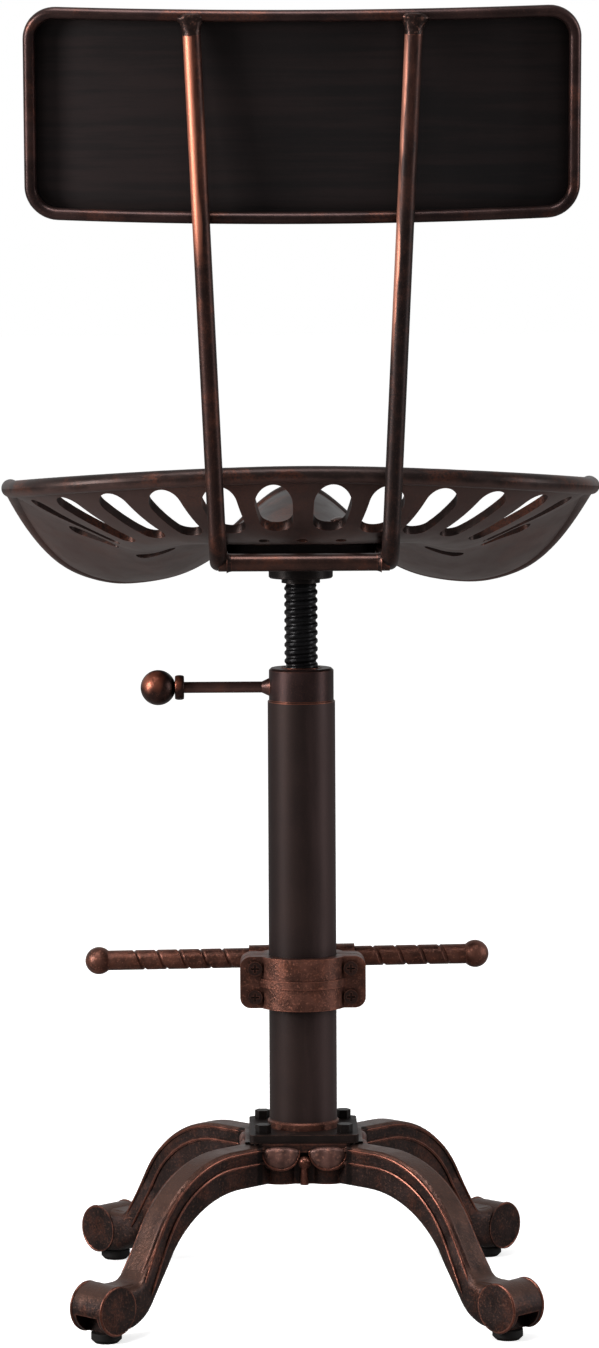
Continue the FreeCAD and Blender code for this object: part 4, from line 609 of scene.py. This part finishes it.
def makeLips(shape):
    # A thin ring: its section is a circle that goes once round the axis
    turn = fullTurn(shape["steps"])[:, None]
    section = fullTurn(shape["sides"])[None, :]
    for name, (radius, level, thick, body, slot) in shape["lips"].items():
        reach = radius + thick * np.cos(section)
        height = np.broadcast_to(level + thick * np.sin(section), (shape["steps"], shape["sides"]))
        points = np.stack([np.cos(turn) * reach, np.sin(turn) * reach, height], axis=-1)
        points = np.concatenate([points, points[:1]])
        makePiece(name, [surface(points, capped=False)], "lipCopper", body)


# Bead behind the lever's ball
beadShape = {"place": 0.0902, "half": 0.0034, "radius": 0.00815, "rise": 0.00105, "rod": 0.0045,
             "level": 0.4518, "rows": 20, "columns": 48}


def makeBead(shape):
    # Radius = base + rise * root of (1 - distance squared), turned round the lever's rod
    along = np.linspace(-1, 1, shape["rows"])
    size = shape["radius"] + shape["rise"] * np.sqrt(np.clip(1 - along ** 2, 0, 1))
    size = np.concatenate([[shape["rod"]], size, [shape["rod"]]])
    place = shape["place"] + shape["half"] * np.concatenate([[-1.0], along, [1.0]])
    turn = fullTurn(shape["columns"])
    points = np.stack([np.repeat(place[:, None], shape["columns"], axis=1), size[:, None] * np.cos(turn),
                       shape["level"] + size[:, None] * np.sin(turn)], axis=-1)
    makePiece("leverBead", [surface(points)], "knobDark", "lock")


makeLips(lipShape)
makeBead(beadShape)
print("lips and lever bead")


# Hub ornaments: on each of the four sides two domed leaves, a bright rim under each and a bud between them
leafShape = {
    "centre": 0.0172, "halfWidth": 0.0136, "halfDrop": 0.0128, "halfRise": 0.0038, "level": 0.1152,
    "face": 0.0436, "behind": 0.004, "dome": 0.0034, "flutes": 3, "flute": 0.12, "inner": 0.02,
    "rows": 14, "columns": 40,
}
rimShape = {
    "thick": 0.00095, "stand": 0.6, "thin": 0.55, "swell": 0.6, "past": 0.25, "steps": 44, "sides": 10,
}
budShape = {
    "radius": 0.0046, "level": 0.1078, "face": 0.0444, "sink": 0.0012, "waist": 0.86, "tip": 0.0003,
    "stemBottom": 0.0915, "stem": 0.0021, "stemFlare": 0.0010, "stemReach": 0.016, "steps": 26, "sides": 18,
}


def sideTurn(points, quarter):
    angle = quarter * np.pi / 2
    spin = np.array([[np.cos(angle), -np.sin(angle), 0], [np.sin(angle), np.cos(angle), 0], [0, 0, 1]])
    return points @ spin.T


def leafEdge(shape, turn, side):
    # The leaf's outline: a half ellipse hanging down and a flat half ellipse above
    drop = np.where(np.sin(turn) < 0, shape["halfDrop"], shape["halfRise"])
    across = side * (shape["centre"] + shape["halfWidth"] * np.cos(turn))
    return across, shape["level"] + drop * np.sin(turn)


def leafGrid(shape, side):
    # Height = dome * root of (1 - reach squared), with soft flutes across the leaf
    edgeX, edgeZ = leafEdge(shape, fullTurn(shape["columns"]), side)
    middleX, middleZ = side * shape["centre"], shape["level"]
    reach = np.linspace(1.0, shape["inner"], shape["rows"])[:, None]
    x = middleX + reach * (edgeX - middleX)[None, :]
    z = middleZ + reach * (edgeZ - middleZ)[None, :]
    flute = shape["flute"] * np.cos(shape["flutes"] * np.pi * (x - middleX) / shape["halfWidth"])
    bulge = shape["dome"] * np.sqrt(np.clip(1 - reach ** 2, 0, 1)) * (1 + flute)
    back = np.stack([edgeX, np.full_like(edgeX, shape["face"] - shape["behind"]), edgeZ], axis=-1)[None]
    return np.concatenate([back, np.stack([x, shape["face"] + bulge, z], axis=-1)])


def rimGrid(leaf, rim, side):
    # A wire along the leaf's lower edge, thickest at the bottom
    sweep = np.linspace(-np.pi - rim["past"], rim["past"], rim["steps"])
    x, z = leafEdge(leaf, sweep, side)
    path = np.stack([x, np.full_like(x, leaf["face"] + rim["thick"] * rim["stand"]), z], axis=-1)
    swell = rim["thick"] * (rim["thin"] + rim["swell"] * np.clip(-np.sin(sweep), 0, 1))
    return ringGrid(path, swell, rim["sides"], forward)


def budGrid(shape):
    # A ball drawn down into a stem that widens to the hub's lower edge
    ball, middle = shape["radius"], shape["level"]
    fall = np.linspace(0, 1, shape["steps"])
    level = middle + ball - fall * (middle + ball - shape["stemBottom"])
    ballSize = np.sqrt(np.clip(1 - ((level - middle) / ball) ** 2, 0, 1)) * ball
    stemSize = shape["stem"] + shape["stemFlare"] * np.clip((middle - level) / shape["stemReach"], 0, 1)
    size = np.where(level > middle - ball * shape["waist"], np.maximum(ballSize, shape["tip"]), stemSize)
    size = np.where(level < middle, np.maximum(size, stemSize), size)
    path = np.stack([np.zeros_like(level), np.full_like(level, shape["face"] - shape["sink"]), level], axis=-1)
    return ringGrid(path, size, shape["sides"], forward)


def makeOrnaments(leaf, rim, bud):
    leaves = []
    rims = []
    buds = []
    for quarter in range(4):
        for side in (1, -1):
            leaves.append(surface(sideTurn(leafGrid(leaf, side), quarter)))
            rims.append(surface(sideTurn(rimGrid(leaf, rim, side), quarter)))
        buds.append(surface(sideTurn(budGrid(bud), quarter)))
    makePiece("hubLeaves", leaves, "leafSand", "base")
    makePiece("hubLeafRims", rims, "ridgeCopper", "base")
    makePiece("hubBuds", buds, "ridgeCopper", "base")


makeOrnaments(leafShape, rimShape, budShape)
print("hub ornaments: leaves, rims and buds")


# Scroll feet: the leg swells into the scroll's side cheeks, ridges run round the scroll and along the leg
cheekShape = {
    "rows": 56, "columns": 40, "corner": 5.0,
    # outer and inner edges of the leg's lower end, as places from the axis and heights, and its half widths
    "outer": ((0.2050, 0.0404), (0.1940, 0.0394), (0.1860, 0.0393), (0.1806, 0.0405), (0.1768, 0.0440),
              (0.1721, 0.0502), (0.1671, 0.0590), (0.1621, 0.0677), (0.1572, 0.0754)),
    "inner": ((0.2050, 0.0074), (0.1970, 0.0074), (0.1865, 0.0092), (0.1768, 0.0136), (0.1696, 0.0194),
              (0.1627, 0.0279), (0.1558, 0.0368), (0.1490, 0.0455), (0.1422, 0.0546)),
    "half": (0.0157, 0.0157, 0.0154, 0.0146, 0.0136, 0.0126, 0.0117, 0.0109, 0.0097),
}
footRingShape = {
    "scroll": 0.205, "level": 0.0244, "radius": 0.0172, "halfDrum": 0.016, "thick": 0.0011, "sweep": 2.0,
    "sink": 0.0002, "inset": 0.7, "fade": 0.7, "endThin": 0.15, "steps": 48, "sides": 10,
}
ridgeShape = {
    "kneePlace": 0.0817, "kneeLevel": 0.0315, "start": 0.050, "turn": 60.0, "thick": 0.0009,
    "hubSteps": 6, "bendSteps": 26, "tailSteps": 17, "endSteps": 3, "endThin": 0.2, "sides": 8,
    # radius of each ridge's arc, length of its straight end, levels and how far it stands out there
    "ridges": (
        (0.0855, 0.0430, (0.040, 0.048, 0.057, 0.066, 0.075), (0.0130, 0.0121, 0.0113, 0.0108, 0.0107)),
        (0.0761, 0.0460, (0.030, 0.039, 0.048, 0.057, 0.065), (0.0139, 0.0129, 0.0120, 0.0112, 0.0107)),
    ),
}


def alongCurve(corners, count):
    # A smooth line through the corners, spaced evenly by the corners' number
    corners = np.array(corners)
    where = np.linspace(0, len(corners) - 1, count)
    cell = np.clip(where.astype(int), 0, len(corners) - 2)
    part = (where - cell)[:, None]
    before = corners[np.clip(cell - 1, 0, None)]
    start, end = corners[cell], corners[cell + 1]
    after = corners[np.clip(cell + 2, None, len(corners) - 1)]
    slopeStart, slopeEnd = (end - before) / 2, (after - start) / 2
    square, cube = part ** 2, part ** 3
    return ((2 * cube - 3 * square + 1) * start + (cube - 2 * square + part) * slopeStart
            + (3 * square - 2 * cube) * end + (cube - square) * slopeEnd)


def legFrame(quarter):
    # Directions along and across one leg, which stands on a diagonal of the base
    angle = np.pi / 4 + quarter * np.pi / 2
    return np.array([np.cos(angle), np.sin(angle), 0]), np.array([-np.sin(angle), np.cos(angle), 0])


def legPoints(quarter, place, level, across):
    ahead, aside = legFrame(quarter)
    place, level, across = np.broadcast_arrays(place, level, across)
    return place[..., None] * ahead + across[..., None] * aside + level[..., None] * np.array(upward)


def makeCheeks(shape):
    # A square with rounded corners between the outer and the inner edge, as wide as the leg is there
    outer = alongCurve(shape["outer"], shape["rows"])
    inner = alongCurve(shape["inner"], shape["rows"])
    half = alongCurve([(width,) for width in shape["half"]], shape["rows"])
    turn = fullTurn(shape["columns"])
    power = 2 / shape["corner"]
    wave = np.sign(np.cos(turn)) * np.abs(np.cos(turn)) ** power
    rise = np.sign(np.sin(turn)) * np.abs(np.sin(turn)) ** power
    middle, reach = (outer + inner) / 2, (outer - inner) / 2
    flat = middle[:, None, :] + reach[:, None, :] * rise[None, :, None]
    cheeks = [surface(legPoints(quarter, flat[..., 0], flat[..., 1], half * wave[None, :]))
              for quarter in range(4)]
    makePiece("footCheeks", cheeks, "castBase", "base")


def makeFootRings(shape):
    # A wire round each side of the scroll, thinner at its ends
    rings = []
    sweep = np.linspace(shape["sweep"], -shape["sweep"], shape["steps"])
    size = shape["thick"] * np.clip((shape["sweep"] - np.abs(sweep)) / shape["fade"] + shape["endThin"], 0, 1)
    radius = shape["radius"] - shape["sink"]
    place = shape["scroll"] + radius * np.cos(sweep)
    level = shape["level"] + radius * np.sin(sweep)
    across = shape["halfDrum"] - shape["thick"] * shape["inset"]
    for quarter in range(4):
        for side in (1, -1):
            path = legPoints(quarter, place, level, side * across)
            rings.append(surface(ringGrid(path, size, shape["sides"], legFrame(quarter)[1])))
    makePiece("footRings", rings, "ridgeCopper", "base")


def makeLegRidges(shape):
    # Each ridge runs level from the hub, follows the knee's arc and goes straight down to the ankle,
    # and it stands out further where the leg swells
    ridges = []
    turn = math.radians(shape["turn"])
    bend = np.linspace(0, turn, shape["bendSteps"])
    hub = np.linspace(shape["start"], shape["kneePlace"], shape["hubSteps"] + 1)[:-1]
    for radius, tail, levels, halves in shape["ridges"]:
        place = np.concatenate([hub, shape["kneePlace"] + radius * np.sin(bend)])
        level = np.concatenate([np.full_like(hub, shape["kneeLevel"] + radius),
                                shape["kneeLevel"] + radius * np.cos(bend)])
        run = np.linspace(0, tail, shape["tailSteps"] + 1)[1:]
        place = np.concatenate([place, place[-1] + run * math.cos(turn)])
        level = np.concatenate([level, level[-1] - run * math.sin(turn)])
        half = np.interp(level, levels, halves)
        ends = np.minimum(np.arange(len(place)), np.arange(len(place))[::-1])
        size = shape["thick"] * np.clip(ends / shape["endSteps"] + shape["endThin"], 0, 1)
        for quarter in range(4):
            for side in (1, -1):
                path = legPoints(quarter, place, level, side * half)
                ridges.append(surface(ringGrid(path, size, shape["sides"], legFrame(quarter)[1])))
    makePiece("legRidges", ridges, "ridgeCopper", "base")


makeLegRidges(ridgeShape)
makeCheeks(cheekShape)
makeFootRings(footRingShape)
print("legs and scroll feet: cheeks, rings and ridges")


# Welds: ragged fillets where the back rods meet the top rim, and low rings at both ends of the cross rod
weldShape = {
    "rodRadius": 0.00625, "skin": 0.0001, "columns": 40, "ripple": 0.12, "seed": 7,
    # fillets at the top rim
    "rodTop": (0.0776, 0.22815, 0.93545), "rodWay": (0.0449, 0.1127, 0.9926),
    "sideFlare": 0.0044, "deepFlare": 0.0008, "length": 0.0155, "above": 0.0062, "rows": 22,
    "waves": 5, "waveShift": 2.2, "waveFall": 9, "lumps": 0.07, "swellEnd": 0.22, "swellPower": 0.5,
    "fadeGain": 1.25, "fadePower": 2.4, "tip": 0.02, "tipDrop": 0.0012,
    # rings on the cross rod
    "crossPlace": 0.172, "armLevel": 0.55585, "armPlace": 0.06044, "ringFlare": 0.0011,
    "ringLength": 0.0036, "ringPast": 0.0006, "ringSteps": 10, "ringWaves": 7,
}


def rimWeld(shape, side, lumps):
    # The fillet spreads to both sides, fades out downwards and is lumpy round and along
    turn = fullTurn(shape["columns"])[None, :]
    fall = np.linspace(0, 1, shape["rows"])[:, None]
    wave = shape["ripple"] * np.sin(shape["waves"] * turn + shape["waveShift"] * side)
    ripple = 1 + wave * np.cos(shape["waveFall"] * fall)
    ripple += shape["lumps"] * lumps
    flare = shape["deepFlare"] + (shape["sideFlare"] - shape["deepFlare"]) * np.cos(turn) ** 2
    swell = np.clip(fall / shape["swellEnd"], 0, 1) ** shape["swellPower"]
    swell = swell * np.clip(shape["fadeGain"] * (1 - fall), 0, 1) ** shape["fadePower"]
    rod = shape["rodRadius"] - shape["tipDrop"] * (fall < shape["tip"]) + shape["skin"]
    flip = np.array([side, 1, 1])
    top = np.array(shape["rodTop"]) * flip
    way = np.array(shape["rodWay"]) * flip
    path = top[None, :] + way[None, :] * (shape["above"] - fall * shape["length"])
    return ringGrid(path, rod + flare * swell * ripple, shape["columns"], forward)


def crossWeld(shape, side):
    # A low ring that falls away along the cross rod by the square of the distance
    turn = fullTurn(shape["columns"])[None, :]
    reach = np.linspace(0.0, shape["ringLength"], shape["ringSteps"])
    inner = shape["armPlace"] - shape["rodRadius"]
    path = np.stack([side * (inner + shape["ringPast"] - reach), np.full_like(reach, shape["crossPlace"]),
                     np.full_like(reach, shape["armLevel"])], axis=-1)
    flare = shape["ringFlare"] * (1 - reach / shape["ringLength"])[:, None] ** 2
    ripple = 1 + shape["ripple"] * np.sin(shape["ringWaves"] * turn)
    size = shape["rodRadius"] + shape["skin"] + flare * ripple
    return ringGrid(path, size, shape["columns"], upward)


def makeWelds(shape):
    welds = []
    random = np.random.default_rng(shape["seed"])
    for side in (1, -1):
        lumps = random.standard_normal((1, shape["columns"]))
        welds.append(surface(rimWeld(shape, side, lumps)))
        welds.append(surface(crossWeld(shape, side)))
    makePiece("backWelds", welds, "weldDark", "seat")


makeWelds(weldShape)
print("welds on the back frame")


# Studio: a white floor that keeps the shadow, a plain white world and soft lamps
studio = {
    "worldLight": 0.5,
    "roomShare": 0.2,      # what glossy surfaces see of the room, next to the white backdrop
    "backdropShare": 0.5,
    "backdropEdge": (0.35, -0.25),
    "floorSize": 60.0,
    "floorGlow": 0.62,
    "floorGloss": 0.03,
    "floorRough": 0.9,
    "floorPaint": (0.8, 0.8, 0.8, 1),
    "floorBounce": (0.24, 0.23, 0.225, 1),
    "aim": (0, 0, 0.55),
    "lamps": {
        # place, size, power, colour
        "leftStrip": ((2.0, 0.95, 1.12), (0.6, 0.8), 50.0, (1.0, 0.97, 0.94)),
        "leftLow": ((2.1, 0.7, 0.45), (0.3, 0.6), 10.0, (1.0, 0.98, 0.96)),
        "rightStrip": ((-2.2, 0.5, 0.9), (0.3, 1.6), 18.0, (1.0, 1.0, 1.0)),
        "overhead": ((0.3, 0.9, 2.6), (1.4, 1.0), 42.0, (1.0, 1.0, 1.0)),
    },
}
white = (1, 1, 1, 1)


def makeWorld(setup):
    world = bpy.data.worlds.new("studioWorld")
    bpy.context.scene.world = world
    world.use_nodes = True
    tree = world.node_tree
    rays = addNode(tree, "ShaderNodeLightPath").outputs
    coords = addNode(tree, "ShaderNodeTexCoord").outputs
    parts = splitNode(tree, coords["Generated"])
    backdrop = remap(tree, parts["Y"], *setup["backdropEdge"], setup["roomShare"], setup["backdropShare"])
    level = addNode(tree, "ShaderNodeMix")
    feed(tree, glossyRays(tree, rays), level.inputs[0])
    feed(tree, setup["worldLight"], level.inputs[2])
    feed(tree, backdrop, level.inputs[3])
    strength = mathNode(tree, "MAXIMUM", level.outputs[0], rays["Is Camera Ray"])
    feedAll(tree, tree.nodes["Background"], {"Color": white, "Strength": strength})


def makeLamps(setup):
    for name, (place, size, power, colour) in setup["lamps"].items():
        data = bpy.data.lights.new(name, "AREA")
        data.shape = "RECTANGLE"
        data.size, data.size_y = size
        data.energy = power
        data.color = colour
        lamp = addObject(name, data)
        lamp.location = place
        lamp.rotation_euler = (Vector(setup["aim"]) - Vector(place)).to_track_quat("-Z", "Y").to_euler()


def makeFloor(setup):
    # The floor is white where it is seen and darker for the light it throws back on the stool
    half = setup["floorSize"] / 2
    mesh = bpy.data.meshes.new("floor")
    square = [(-half, -half, 0), (half, -half, 0), (half, half, 0), (-half, half, 0)]
    mesh.from_pydata(square, [], [(0, 1, 2, 3)])
    floor = addObject("floor", mesh)
    material = bpy.data.materials.new("paleFloor")
    material.use_nodes = True
    tree = material.node_tree
    rays = addNode(tree, "ShaderNodeLightPath").outputs
    paint = blendColours(tree, rays["Is Camera Ray"], setup["floorBounce"], setup["floorPaint"])
    glow = mathNode(tree, "ADD", mathNode(tree, "MULTIPLY", rays["Is Camera Ray"], setup["floorGlow"]),
                    mathNode(tree, "MULTIPLY", glossyRays(tree, rays), setup["floorGloss"]))
    feedAll(tree, tree.nodes["Principled BSDF"], {
        "Base Color": paint, "Roughness": setup["floorRough"], "Specular IOR Level": 0.0,
        "Emission Color": white, "Emission Strength": glow})
    mesh.materials.append(material)


makeWorld(studio)
makeLamps(studio)
makeFloor(studio)
print("studio ready")
